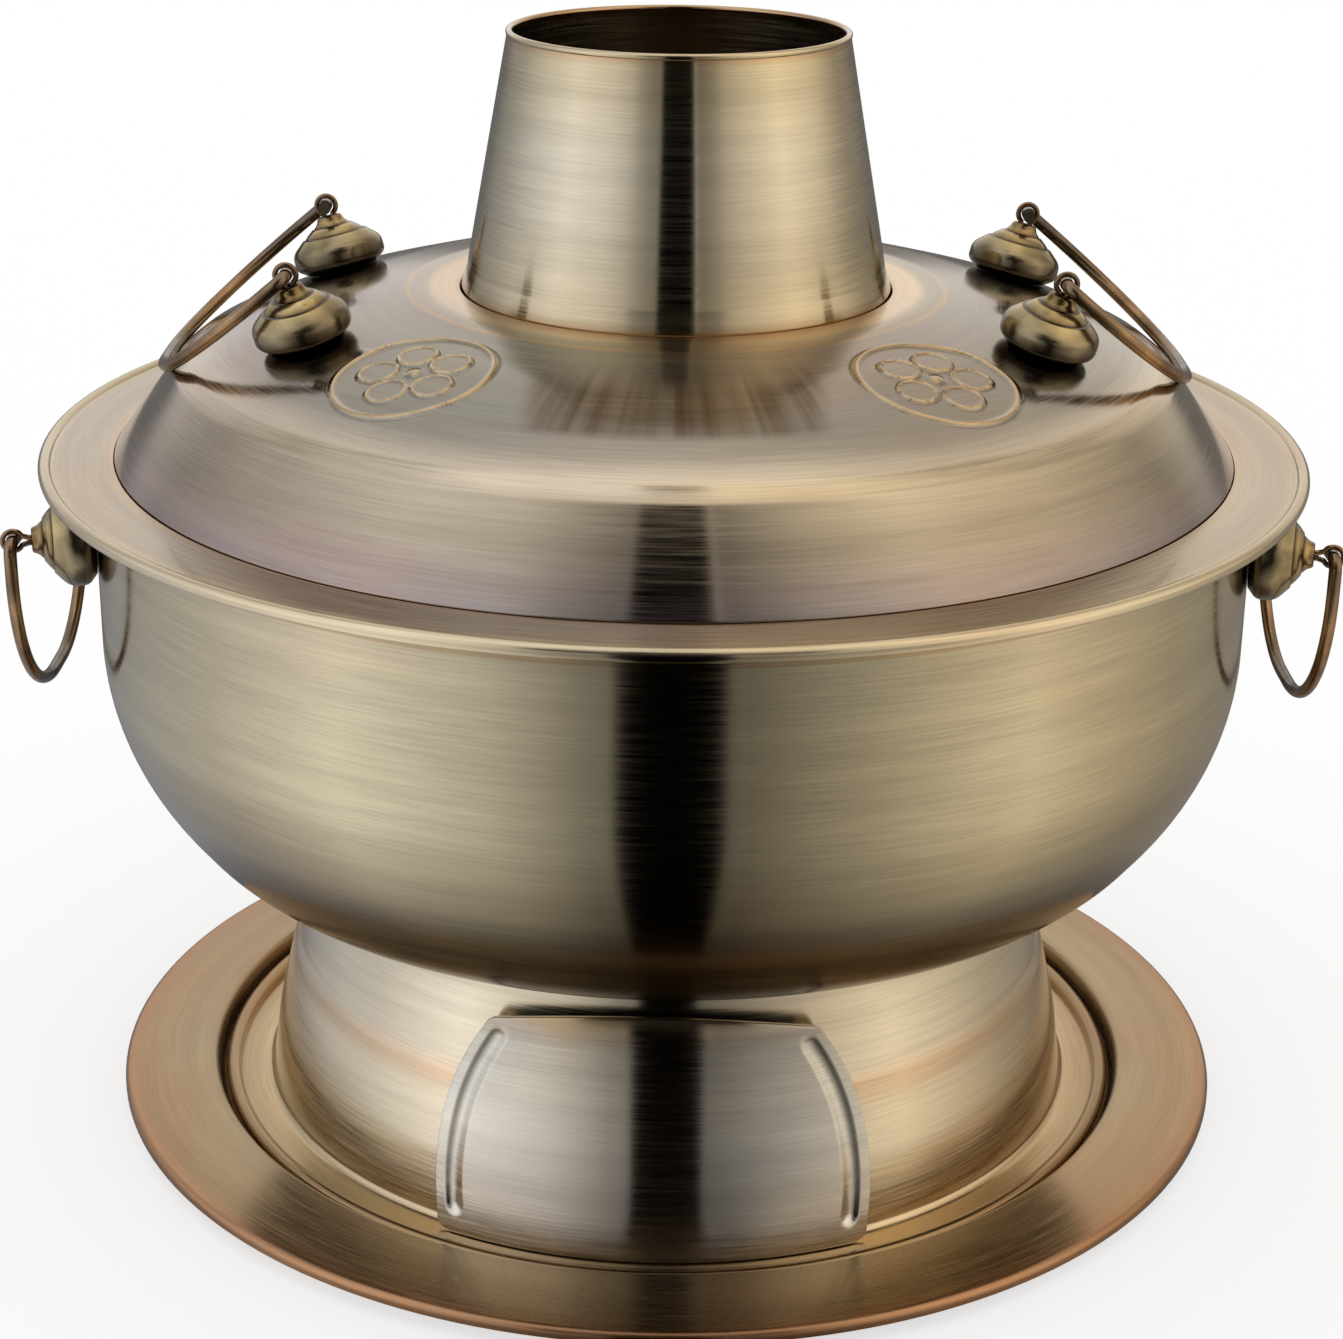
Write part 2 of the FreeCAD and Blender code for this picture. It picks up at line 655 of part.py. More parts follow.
class Fitting:
    """The four like places for a knob: its foot on the sheet, and its heading."""

    def __init__(self, name, across, along, up, turn, lean, eye_rise, knob_cut):
        self.name = name
        self.foot = (across, along, up)
        self.lean = lean
        self.eye_rise = eye_rise
        self.knob_cut = knob_cut
        self.heading = (sine(lean) * cosine(turn), sine(lean) * sine(turn), cosine(lean))
        self.axis = (-sine(turn), cosine(turn), ZERO)

    def out(self, rise):
        """A place on the pin's axis, so far out from the sheet."""
        return tuple(foot + way * rise for foot, way in zip(self.foot, self.heading))

    def stand(self, item, rise):
        return placed(item, *self.out(rise), axis=self.axis, angle=self.lean)

    def four(self, name, quarter):
        """The quarter piece, its mirror images, and all four together."""
        other = mirrored(name + "_other", quarter, TO_THE_RIGHT)
        front = together(name + "_pair", quarter, other)
        back = mirrored(name + "_back", front, TO_THE_BACK)
        return together(name + "_all", front, back)

    def knobs(self):
        shoulder = size.knob_shoulder_rise - self.knob_cut
        collar_rise = size.knob_collar_rise - self.knob_cut
        top = size.knob_height - self.knob_cut
        section = outline(self.name + "_knob_outline", (
            Corner(shank_hole, ZERO),
            Corner(size.knob_base, ZERO),
            Corner(size.knob_belly, size.knob_belly_low - self.knob_cut),
            Corner(size.knob_belly, size.knob_belly_high - self.knob_cut),
            Corner(size.knob_shoulder, shoulder),
            Corner(size.knob_shoulder - size.knob_step, shoulder),
            Corner(size.knob_collar, collar_rise),
            Corner(size.knob_collar - size.knob_step, collar_rise),
            Corner(size.knob_tip, top),
            Corner(shank_hole, top),
        ), closed=True)
        turned = spun(self.name + "_knob", plain_face(self.name + "_knob_face", section))
        holder = together(self.name + "_knob_placed", turned)
        return self.four(self.name + "_knobs", self.stand(holder, size.knob_room))

    def washers(self):
        plate = cylinder(self.name + "_washer_plate", size.washer_radius, size.washer_thickness)
        hole = cylinder(self.name + "_washer_hole", shank_hole, size.washer_thickness)
        rise = -(size.gauge + size.washer_room + size.washer_thickness)
        disc = cut(self.name + "_washer", self.stand(plate, rise), self.stand(hole, rise))
        return self.four(self.name + "_washers", disc)

    def pins(self):
        washer_stack = size.washer_room + size.washer_thickness + size.washer_room
        leg_rise = -(size.gauge + washer_stack + size.leg_thickness)
        shank_length = self.eye_rise - eye_hole - size.eye_wire * 0.5 - leg_rise
        shank = self.stand(cylinder(self.name + "_shank", size.pin_radius, shank_length), leg_rise)
        legs = box(self.name + "_legs", size.leg_length * 2, size.pin_radius * 2, size.leg_thickness)
        placed(legs, -size.leg_length, -size.pin_radius, ZERO)
        splayed = self.stand(together(self.name + "_legs_placed", legs), leg_rise)
        across, along, up = self.out(self.eye_rise)
        width = size.pin_radius * 2
        loop = cylinder(self.name + "_eye_loop", eye_radius, width)
        hole = cylinder(self.name + "_eye_hole", eye_hole, width)
        for piece in (loop, hole):
            placed(piece, across, along + size.pin_radius, up, axis=(1, 0, 0), angle=QUARTER_TURN)
        solid = fused(self.name + "_solid_pin", shank, splayed, loop)
        return self.four(self.name + "_pins", cut(self.name + "_pin", solid, hole))

    def holes(self):
        depth = size.pin_radius * 4
        drill = cylinder(self.name + "_drill", shank_hole, depth)
        return self.four(self.name + "_holes", self.stand(drill, -depth * 0.5))


# The lid's knobs stand square to the middle slope of the dome.
dome_fall = size.upper_dome_height - size.lower_dome_height
dome_run = size.lower_dome_radius - size.upper_dome_radius
dome_lean = arctangent(dome_fall, dome_run)
dome_middle = (size.upper_dome_height + size.lower_dome_height) * 0.5
lid_foot_radius = (size.upper_dome_radius + size.lower_dome_radius) * 0.5
lid_fitting = Fitting(
    "lid",
    lid_foot_radius * cosine(size.lid_knob_turn),
    lid_foot_radius * sine(size.lid_knob_turn),
    dome_middle,
    size.lid_knob_turn, dome_lean, size.lid_eye_rise, size.lid_knob_cut)
node("lid_knobs", lid_fitting.knobs())
node("lid_washers", lid_fitting.washers())
node("lid_eye_pins", lid_fitting.pins())

pot_fitting = Fitting(
    "pot",
    size.bowl_radius * cosine(size.pot_knob_turn),
    size.bowl_radius * sine(size.pot_knob_turn),
    size.pot_knob_height,
    size.pot_knob_turn, QUARTER_TURN, size.pot_eye_rise, ZERO)
node("pot_knobs", pot_fitting.knobs())
node("pot_washers", pot_fitting.washers())
node("pot_eye_pins", pot_fitting.pins())

node("bowl", cut("drilled_bowl", bowl, pot_fitting.holes()))


# ------------------------------------------------------ medallions on the lid
# The relief follows the dome: a raised ring, five petals and the blossom's eye.

stamp_height = size.medallion_radius
stamp_parts = [cut(
    "medallion_ring",
    cylinder("medallion_outside", size.medallion_radius, stamp_height),
    cylinder("medallion_inside", size.medallion_radius - size.medallion_ring, stamp_height))]
petal_count = 5
for petal in range(petal_count):
    way = Size(90 + petal * 360 / petal_count, str(90 + petal * 360 / petal_count))
    leaf = cylinder("petal_%d" % petal, size.petal_radius, stamp_height)
    stamp_parts.append(placed(leaf, size.petal_reach * cosine(way), size.petal_reach * sine(way), ZERO))
stamp_parts.append(cylinder("blossom_eye", size.blossom_eye, stamp_height))
stamp = together("stamp", *stamp_parts)
stamp_way = size.medallion_turn - QUARTER_TURN
stamp_reach = lid_foot_radius - size.medallion_inset
placed(stamp, stamp_reach * cosine(stamp_way), stamp_reach * sine(stamp_way),
       dome_middle - stamp_height * 0.5, axis=(-sine(stamp_way), cosine(stamp_way), ZERO), angle=dome_lean)
stamps = together("stamps", stamp, mirrored("other_stamp", stamp, TO_THE_RIGHT))
relief = common("medallions", stamps, relief_shell)
node("lid", cut("drilled_lid", fused("stamped_lid", lid_shell, relief), lid_fitting.holes()))


# ------------------------------------------------------------------- air door
# A conical slide that stands on the foot's flange and turns about the pot's axis.
# Its hook passes through the opening and up behind the neck, so it can't fall off.

door_base = flange_top + size.running_gap
door_top = door_base + size.door_height
door_side = door_base + size.door_wide_rise
door_corner_height = door_top - size.door_top_fall
cone_spread = (size.door_base_radius - size.door_top_radius) / size.door_height
door_lean = arctangent(size.door_base_radius - size.door_top_radius, size.door_height)
slanted_gauge = size.gauge / cosine(door_lean)


def door_layer(name, inner, outer):
    """A conical layer of the door, between two distances outside its outer face."""
    return spun(name, plain_face(name + "_face", outline(name + "_outline", (
        Corner(size.door_base_radius + inner, door_base),
        Corner(size.door_base_radius + outer, door_base),
        Corner(size.door_top_radius + outer, door_top),
        Corner(size.door_top_radius + inner, door_top),
    ), closed=True)))


door_cone = door_layer("door_cone", -slanted_gauge, ZERO)
rib_cone = door_layer("rib_cone", ZERO, size.rib_height)
door_outline = outline("door_outline", (
    Corner(-size.door_base_half, door_base, size.door_corner_bend),
    Corner(size.door_base_half, door_base, size.door_corner_bend),
    Corner(size.door_wide_half, door_side, size.door_side_bend),
    Corner(size.door_top_half, door_corner_height, size.door_corner_bend),
    Corner(ZERO, door_top, size.door_top_bend),
    Corner(-size.door_top_half, door_corner_height, size.door_corner_bend),
    Corner(-size.door_wide_half, door_side, size.door_side_bend),
), closed=True)
door_face = plain_face("door_face", door_outline)
door_prism = prism_forward("door_prism", door_face, size.foot_bead_outer)
door_plate = common("door_plate", door_cone, door_prism)
rib_outline = outline("rib_outline", (
    Corner(size.door_top_half - size.rib_inset, door_corner_height - size.rib_end_room),
    Corner(size.door_wide_half - size.rib_inset, door_side, size.door_side_bend),
    Corner(size.door_base_half - size.rib_inset, door_base + size.rib_end_room),
))
rib_face = thick_face("rib_face", rib_outline, size.rib_width)
rib_prism = prism_forward("rib_prism", rib_face, size.foot_bead_outer)
right_rib = common("right_rib", rib_cone, rib_prism)
left_rib = mirrored("left_rib", right_rib, TO_THE_RIGHT)
ribbed_door = fused("ribbed_door", door_plate, right_rib, left_rib)
node("air_door", placed(together("door", ribbed_door), ZERO, ZERO, ZERO, angle=-size.door_turn))


def inside_door(up):
    """The radius of the door's inner face at a height."""
    return size.door_top_radius + (door_top - up) * cone_spread - slanted_gauge


hook_top = size.opening_top - size.hook_drop
hook_leg = size.foot_waist_radius - size.gauge - size.hook_room
hook_foot = hook_top - size.hook_seat
hook_outline = outline("hook_outline", (
    Corner(hook_leg, size.opening_top + size.hook_reach),
    Corner(hook_leg, hook_top),
    Corner(inside_door(hook_top), hook_top),
    Corner(inside_door(hook_foot), hook_foot),
))
hook_width = arctangent(size.hook_half, size.foot_waist_radius) * 2
hook = spun("hook", thick_face("hook_section", hook_outline, size.gauge), hook_width)
hook_turn = -(size.door_turn + QUARTER_TURN + hook_width * 0.5)
node("door_hook", placed(together("hook_placed", hook), ZERO, ZERO, ZERO, angle=hook_turn))


# ---------------------------------------------------------------------- bails
# Four wire handles. The ends of each bow turn inwards and pass through the eyes of
# two pins. The bowl's bails hang down, and the lid's bails lie on its shoulder.

FLAT = Placement()
# How closely the angle of a lying bail is worked out, in degrees.
LIE_STEP = 0.001


def bail(name, fitting):
    """A bail that lies along +X from its pivot axis, which is the Y axis."""
    eye_along = fitting.out(fitting.eye_rise)[1]
    inner_end = eye_along - size.pin_radius - size.bail_end
    leg = eye_along + size.pin_radius + size.bail_side_room + size.bail_wire
    bow = leg - size.bail_flat
    route = outline(name + "_route", (
        Corner(ZERO, inner_end),
        Corner(ZERO, leg, size.bail_corner),
        Corner(size.bail_reach, leg, bow),
        Corner(size.bail_reach, -leg, bow),
        Corner(ZERO, -leg, size.bail_corner),
        Corner(ZERO, -inner_end),
    ), plane=FLAT)
    doc.recompute()
    section = doc.addObject("Part::RegularPolygon", name + "_section")
    section.Polygon = 8
    section.setExpression("Circumradius", size.bail_wire.text)
    placed(section, ZERO, inner_end, ZERO, axis=(1, 0, 0), angle=QUARTER_TURN)
    swept = doc.addObject("Part::Sweep", name + "_wire")
    swept.Sections = [section]
    swept.Spine = (route, ["Edge%d" % (index + 1) for index in range(len(route.Shape.Edges))])
    swept.Solid = True
    swept.Frenet = False
    return swept


def hung(name, wire, fitting, angle):
    """A bail on its pivot at the right, turned down about the Y axis."""
    across, _, up = fitting.out(fitting.eye_rise)
    return placed(together(name, wire), across, ZERO, up, axis=(0, 1, 0), angle=angle)


lid_wire = bail("lid_bail", lid_fitting)
pot_wire = bail("pot_bail", pot_fitting)
doc.recompute()


def lying_angle():
    """How far the lid's bail turns down before it lies on the lid."""
    across, _, up = lid_fitting.out(lid_fitting.eye_rise)
    pivot = Vector(across.value, 0, up.value)
    high, low = 0.0, 90.0
    while low - high > LIE_STEP:
        middle = (high + low) / 2
        wire = lid_wire.Shape.copy()
        wire.Placement = Placement(pivot, Rotation(Vector(0, 1, 0), middle))
        if wire.distToShape(lid_shell.Shape)[0] > size.seat_gap.value:
            high = middle
        else:
            low = middle
    return high


lie_cell = len(DRIVING_SIZES) + 1
sheet.set("A%d" % lie_cell, "worked out: how far the lid's bails turn down from level")
sheet.set("B%d" % lie_cell, "%.3f" % lying_angle())
sheet.setAlias("B%d" % lie_cell, "lid_bail_lie")
doc.recompute()
lid_lie = Size(sheet.lid_bail_lie, "Sizes.lid_bail_lie")
lid_bail = hung("lid_bail_right", lid_wire, lid_fitting, lid_lie)
pot_bail = hung("pot_bail_right", pot_wire, pot_fitting, QUARTER_TURN)
node("lid_bail_right", lid_bail)
node("pot_bail_right", pot_bail)
node("lid_bail_left", mirrored("lid_bail_left", lid_bail, TO_THE_RIGHT))
node("pot_bail_left", mirrored("pot_bail_left", pot_bail, TO_THE_RIGHT))


# ------------------------------------------------------------ checks and files

doc.recompute()
for item in doc.Objects:
    if "Invalid" in item.State or "Error" in item.State:
        raise RuntimeError("%s did not build: %s" % (item.Label, item.State))
for name, item in nodes.items():
    if item.Shape.isNull() or not item.Shape.isValid():
        raise RuntimeError("%s has no valid shape" % name)

os.makedirs("parts", exist_ok=True)
for name, item in nodes.items():
    item.Shape.exportStep(os.path.join("parts", name + ".step"))
    print("%-16s %2d solids %9.0f cubic mm" % (name, len(item.Shape.Solids), item.Shape.Volume))
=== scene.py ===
import json
import math

import bmesh
import bpy
from mathutils import Matrix, Vector


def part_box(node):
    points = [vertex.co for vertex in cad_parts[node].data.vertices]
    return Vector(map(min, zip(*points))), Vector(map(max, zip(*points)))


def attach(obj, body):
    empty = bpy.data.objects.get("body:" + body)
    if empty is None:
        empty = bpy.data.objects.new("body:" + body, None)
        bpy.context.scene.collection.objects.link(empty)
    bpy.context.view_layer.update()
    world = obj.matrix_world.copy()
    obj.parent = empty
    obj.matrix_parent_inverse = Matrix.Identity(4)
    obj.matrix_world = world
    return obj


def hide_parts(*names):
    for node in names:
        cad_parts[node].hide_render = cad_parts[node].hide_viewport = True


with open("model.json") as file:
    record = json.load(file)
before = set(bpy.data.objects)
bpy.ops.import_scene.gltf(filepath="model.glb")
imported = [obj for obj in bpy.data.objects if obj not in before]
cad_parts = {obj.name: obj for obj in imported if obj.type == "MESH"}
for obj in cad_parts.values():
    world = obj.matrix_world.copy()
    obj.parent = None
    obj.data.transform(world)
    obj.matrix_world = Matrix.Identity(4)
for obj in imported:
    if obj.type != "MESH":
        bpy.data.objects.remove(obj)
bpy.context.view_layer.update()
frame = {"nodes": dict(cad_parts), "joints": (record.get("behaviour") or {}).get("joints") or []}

MM = 0.001
scene = bpy.context.scene


# -------------------------------------------------------------------- camera
# A long lens a little above the pot, level with the front of its lid. The head
# leans by less than a degree.

sensor_width = 36.0
camera_lens = 75.32
camera_back = 738.97 * MM
camera_height = 403.92 * MM
camera_down = math.radians(20.974)
camera_lean = math.radians(0.687)

camera = bpy.data.objects.new("camera", bpy.data.cameras.new("camera"))
camera.data.sensor_width = sensor_width
camera.data.lens = camera_lens
camera.matrix_world = (
    Matrix.Translation((0, -camera_back, camera_height))
    @ Matrix.Rotation(math.pi / 2 - camera_down, 4, "X")
    @ Matrix.Rotation(camera_lean, 4, "Z"))
scene.collection.objects.link(camera)
scene.camera = camera


# -------------------------------------------------------------------- studio
# A pale floor that runs on into a white world, and round it a light tent. The tent
# has a dark slit at the front and lit sides, and only polished metal shows it.

floor_half = 9.0
floor_tone = "#E4E4E4"
ambient_level = 0.45
tent_radius = 2.6
tent_floor_rise = 0.4 * MM


def linear(colour):
    """The linear red, green, blue and alpha of an sRGB hex colour."""
    parts = [int(colour[place:place + 2], 16) / 255 for place in (1, 3, 5)]
    return [part / 12.92 if part <= 0.04045 else ((part + 0.055) / 1.055) ** 2.4 for part in parts] + [1.0]


def add(tree, kind, inputs=None, **settings):
    """Adds a node, sets it up, and gives each named input a value or a link."""
    node = tree.nodes.new(kind)
    for name, value in settings.items():
        setattr(node, name, value)
    for socket, value in (inputs or {}).items():
        if isinstance(value, bpy.types.NodeSocket):
            tree.links.new(value, node.inputs[socket])
        else:
            node.inputs[socket].default_value = value
    return node


def maths(tree, operation, *values):
    """The outcome of a math node with these values or links."""
    return add(tree, "ShaderNodeMath", dict(enumerate(values)), operation=operation).outputs[0]


def vectors(tree, operation, *values):
    """The outcome of a vector math node with these values or links."""
    outcome = "Value" if operation == "LENGTH" else "Vector"
    return add(tree, "ShaderNodeVectorMath", dict(enumerate(values)), operation=operation).outputs[outcome]


def spread(tree, value, low=0.0, high=1.0, to_low=0.0, to_high=1.0, steps="LINEAR"):
    """A value carried from one range to another, and held at the ends."""
    return add(tree, "ShaderNodeMapRange", {
        "Value": value, "From Min": low, "From Max": high, "To Min": to_low, "To Max": to_high},
        interpolation_type=steps).outputs[0]


def mixed(tree, share, first, second, data_type="RGBA", blend_type="MIX"):
    """The first colour or value turned by a share into the second."""
    return add(tree, "ShaderNodeMix", {"Factor": share, "A": first, "B": second}, data_type=data_type,
               blend_type=blend_type).outputs["Result"]


def noise(tree, vector, scale, detail):
    """The grain of a noise texture."""
    sockets = {"Vector": vector, "Scale": scale, "Detail": detail}
    return add(tree, "ShaderNodeTexNoise", sockets).outputs["Fac"]


def material_tree(name):
    """A new material without nodes, and its node tree."""
    material = bpy.data.materials.new(name)
    material.use_nodes = True
    material.node_tree.nodes.clear()
    return material, material.node_tree


def ramp(tree, value, stops, interpolation="EASE"):
    """A colour ramp with stops of place and colour."""
    node = add(tree, "ShaderNodeValToRGB", {"Fac": value})
    node.color_ramp.interpolation = interpolation
    elements = node.color_ramp.elements
    for index, (place, colour) in enumerate(stops):
        element = elements[index] if index < 2 else elements.new(place)
        element.position = place
        element.color = linear(colour) if isinstance(colour, str) else (colour, colour, colour, 1)
    return node.outputs["Color"]


def seen_directly(tree):
    """One for rays from the camera and for mirror and glass rays, else nought."""
    path = add(tree, "ShaderNodeLightPath").outputs
    either = maths(tree, "MAXIMUM", path["Is Camera Ray"], path["Is Glossy Ray"])
    return maths(tree, "MAXIMUM", either, path["Is Transmission Ray"])


scene.view_settings.view_transform = "Standard"

world = bpy.data.worlds.new("studio")
scene.world = world
world.use_nodes = True
world.node_tree.nodes.clear()
world_level = spread(world.node_tree, seen_directly(world.node_tree), to_low=ambient_level)
world_light = add(world.node_tree, "ShaderNodeBackground", {"Color": (1, 1, 1, 1), "Strength": world_level})
add(world.node_tree, "ShaderNodeOutputWorld", {"Surface": world_light.outputs[0]})

floor_material, tree = material_tree("floor_paper")
paper = add(tree, "ShaderNodeBsdfDiffuse", {"Color": linear(floor_tone)})
lift = maths(tree, "MULTIPLY", seen_directly(tree), 1 - ambient_level * linear(floor_tone)[0])
glow = add(tree, "ShaderNodeEmission", {"Color": (1, 1, 1, 1), "Strength": lift})
both = add(tree, "ShaderNodeAddShader", {0: paper.outputs[0], 1: glow.outputs[0]})
add(tree, "ShaderNodeOutputMaterial", {"Surface": both.outputs[0]})

floor_mesh = bpy.data.meshes.new("floor")
floor_mesh.from_pydata([(-floor_half, -floor_half, 0), (floor_half, -floor_half, 0),
                        (floor_half, floor_half, 0), (-floor_half, floor_half, 0)], [], [(0, 1, 2, 3)])
floor_mesh.materials.append(floor_material)
floor = bpy.data.objects.new("floor", floor_mesh)
scene.collection.objects.link(floor)

# The tent's light by heading, from straight behind the pot round by its left, its
# front and its right, and by height above the table. The slit's edges would meet a
# little in front of the pot's middle. The pot keeps the light off the floor round it.
slit_apex = 80 * MM
shade_from, shade_to, shade_strength = 140 * MM, 210 * MM, 0.15
tent_strength = 1.25
overhead_light = (0.95, 0.95, 0.95, 1)
window_half, window_edge = math.radians(30), math.radians(6)
window_dark = (0.03, 0.03, 0.03, 1)
tent_rings, tent_segments = 48, 96
tent_material, tree = material_tree("light_tent")
spot = add(tree, "ShaderNodeSeparateXYZ", {0: add(tree, "ShaderNodeTexCoord").outputs["Object"]}).outputs
forward = maths(tree, "MULTIPLY_ADD", spot["Y"], -1.0, -slit_apex)
heading = maths(tree, "ARCTAN2", spot["X"], forward)
turn = spread(tree, heading, -math.pi, math.pi)


def at(degrees):
    """The place on the tent's ramp of a heading, with the front at nought."""
    return 0.5 + degrees / 360


low = ramp(tree, turn, [
    (at(-180), 0.08), (at(-150), 0.16), (at(-125), 0.36), (at(-108), 0.50), (at(-95), 0.60), (at(-65), 1.0),
    (at(-35), 0.62), (at(-16), 0.25), (at(-11), 0.22), (at(-9.7), 0.0), (at(9.7), 0.0), (at(11), 0.16),
    (at(16), 0.18), (at(35), 0.38), (at(71), 0.82), (at(95), 0.52), (at(108), 0.38), (at(125), 0.28),
    (at(150), 0.16), (at(180), 0.08)], "LINEAR")
high = ramp(tree, turn, [
    (at(-180), 0.85), (at(-150), 0.75), (at(-124), 0.48), (at(-100), 0.80), (at(-70), 1.1), (at(-44), 0.90),
    (at(-16), 0.34), (at(-11), 0.30), (at(-9.7), 0.0), (at(9.7), 0.0), (at(10.6), 0.75), (at(12), 0.28),
    (at(16), 0.30), (at(40), 0.72), (at(66), 1.1), (at(95), 0.90), (at(124), 0.44), (at(150), 0.75),
    (at(180), 0.85)], "LINEAR")
flat = add(tree, "ShaderNodeCombineXYZ", {"X": spot["X"], "Y": spot["Y"]}).outputs[0]
reach = vectors(tree, "LENGTH", flat)
height = spread(tree, maths(tree, "ARCTAN2", spot["Z"], reach), high=math.pi / 2)
raised = ramp(tree, height, [(0.05, 0.0), (0.14, 1.0)])
overhead = ramp(tree, height, [(0.66, 0.0), (0.80, 1.0)])
level = mixed(tree, overhead, mixed(tree, raised, low, high), overhead_light)
# Over the slit the tent is open, where the camera and its stand look in. The light
# from the left is a little cooler than the light from the right.
near_middle = spread(tree, maths(tree, "ABSOLUTE", heading), window_half, window_half - window_edge)
window_up = ramp(tree, height, [(0.22, 0.0), (0.27, 1.0), (0.44, 1.0), (0.50, 0.0)])
level = mixed(tree, maths(tree, "MULTIPLY", near_middle, window_up), level, window_dark)
rightwards = spread(tree, maths(tree, "DIVIDE", spot["X"], reach), low=-1.0)
cast = ramp(tree, rightwards, [(0.0, "#F6F7FF"), (1.0, "#FFF3E2")], "LINEAR")
level = mixed(tree, 1.0, level, cast, blend_type="MULTIPLY")
shaded = spread(tree, reach, shade_from, shade_to, shade_strength, tent_strength)
lit = add(tree, "ShaderNodeEmission", {"Color": level, "Strength": shaded})
add(tree, "ShaderNodeOutputMaterial", {"Surface": lit.outputs[0]})

shape = bmesh.new()
bmesh.ops.create_uvsphere(shape, u_segments=tent_segments, v_segments=tent_rings, radius=tent_radius)
below = [corner for corner in shape.verts if corner.co.z < -1e-4]
bmesh.ops.delete(shape, geom=below, context="VERTS")
bmesh.ops.create_circle(shape, cap_ends=True, segments=tent_segments, radius=tent_radius,
                        matrix=Matrix.Translation((0, 0, tent_floor_rise)))
tent_mesh = bpy.data.meshes.new("light_tent")
shape.to_mesh(tent_mesh)
shape.free()
tent_mesh.materials.append(tent_material)
tent = bpy.data.objects.new("light_tent", tent_mesh)
scene.collection.objects.link(tent)
tent.visible_camera = False
tent.visible_diffuse = False
tent.visible_transmission = False
tent.visible_shadow = False


# ---------------------------------------------------------------------- tray
# A saucer spun from one disc of steel sheet: a flat well, a steep wall, a nearly
# level rim and a turned-down edge. Plated in antique brass, with a copper edge.

sheet_gauge = 1.0
bend_step = math.radians(9)
arc_step = 2.0
ring_steps = 192


def rounded(corners):
    """A path through corners (across, up, bend radius), with each bend an arc."""
    path = []
    for index, corner in enumerate(corners):
        here = Vector(corner[:2])
        if len(corner) == 2:
            path.append(here)
            continue
        arriving = (here - Vector(corners[index - 1][:2])).normalized()
        leaving = (Vector(corners[index + 1][:2]) - here).normalized()
        turn = math.atan2(arriving.x * leaving.y - arriving.y * leaving.x, arriving.dot(leaving))
        start = here - arriving * corner[2] * math.tan(abs(turn) / 2)
        side = math.copysign(corner[2], turn)
        centre = start + Vector((-arriving.y, arriving.x)) * side
        steps = max(2, math.ceil(abs(turn) / bend_step), math.ceil(abs(turn) * corner[2] / arc_step))
        for step in range(steps + 1):
            path.append(centre + Matrix.Rotation(turn * step / steps, 2) @ (start - centre))
    return path


def lengths(path):
    """How far each point lies along a path."""
    total = [0.0]
    for first, second in zip(path, path[1:]):
        total.append(total[-1] + (second - first).length)
    return total


def offset(path, distance):
    """The path moved to the right-hand side of its travel."""
    moved = []
    for index, here in enumerate(path):
        before = path[max(index - 1, 0)]
        after = path[min(index + 1, len(path) - 1)]
        ways = [(second - first).normalized() for first, second in ((before, here), (here, after))
                if (second - first).length > 0]
        rights = [Vector((way.y, -way.x)) for way in ways]
        middle = sum(rights, Vector((0, 0))).normalized()
        moved.append(here + middle * distance / max(middle.dot(rights[0]), 0.3))
    return moved


def sheet_loop(corners, gauge=sheet_gauge):
    """The closed section of a sheet below or inside a path, with its place along it."""
    path = rounded(corners)
    along = lengths(path)
    return path + offset(path, gauge)[::-1], along + along[::-1]


def bead_loop(across, up, wire, along):
    """The round section of a rolled edge."""
    steps = 24
    loop = [Vector((across + wire * math.cos(turn), up + wire * math.sin(turn)))
            for turn in (math.tau * step / steps for step in range(steps))]
    return loop, [along + wire * math.pi * abs(1 - 2 * step / steps) for step in range(steps)]


def new_tree(name, **inputs):
    """A geometry node tree with a geometry and the named inputs, and its input node."""
    tree = bpy.data.node_groups.new(name, "GeometryNodeTree")
    tree.interface.new_socket("Geometry", in_out="INPUT", socket_type="NodeSocketGeometry")
    for label, kind in inputs.items():
        tree.interface.new_socket(label, in_out="INPUT", socket_type="NodeSocket" + kind)
    tree.interface.new_socket("Geometry", in_out="OUTPUT", socket_type="NodeSocketGeometry")
    return tree, add(tree, "NodeGroupInput").outputs


def end_tree(tree, geometry, material):
    """Makes instances real, gives them their material and hands them out."""
    real = add(tree, "GeometryNodeRealizeInstances", {0: geometry})
    finish = add(tree, "GeometryNodeSetMaterial", {"Geometry": real.outputs[0], "Material": material})
    add(tree, "NodeGroupOutput", {0: finish.outputs[0]})


def grown(tree, mesh, **inputs):
    """The plain mesh that a tree makes of a mesh."""
    seed = bpy.data.objects.new("seed", mesh)
    scene.collection.objects.link(seed)
    modifier = seed.modifiers.new("tree", "NODES")
    modifier.node_group = tree
    for socket in tree.interface.items_tree:
        if socket.in_out == "INPUT" and socket.name in inputs:
            modifier[socket.identifier] = inputs[socket.name]
    result = bpy.data.meshes.new_from_object(seed.evaluated_get(bpy.context.evaluated_depsgraph_get()))
    bpy.data.objects.remove(seed)
    return result


def closed(mesh, sharp=math.radians(32)):
    """Turns a mesh's faces outwards and smooths it, apart from its sharp edges."""
    shape = bmesh.new()
    shape.from_mesh(mesh)
    bmesh.ops.remove_doubles(shape, verts=shape.verts, dist=1e-6)
    bmesh.ops.dissolve_degenerate(shape, edges=shape.edges, dist=1e-7)
    bmesh.ops.recalc_face_normals(shape, faces=shape.faces)
    for face in shape.faces:
        face.smooth = True
    shape.to_mesh(mesh)
    shape.free()
    mesh.set_sharp_from_angle(angle=sharp)
    return mesh


def piece(name, mesh, body, slot, *nodes):
    """A finished piece that rides on a body and stands for the frame's nodes."""
    item = bpy.data.objects.new(name, mesh)
    mesh.name = name
    scene.collection.objects.link(item)
    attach(item, body)
    if nodes:
        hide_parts(*nodes)
    return item


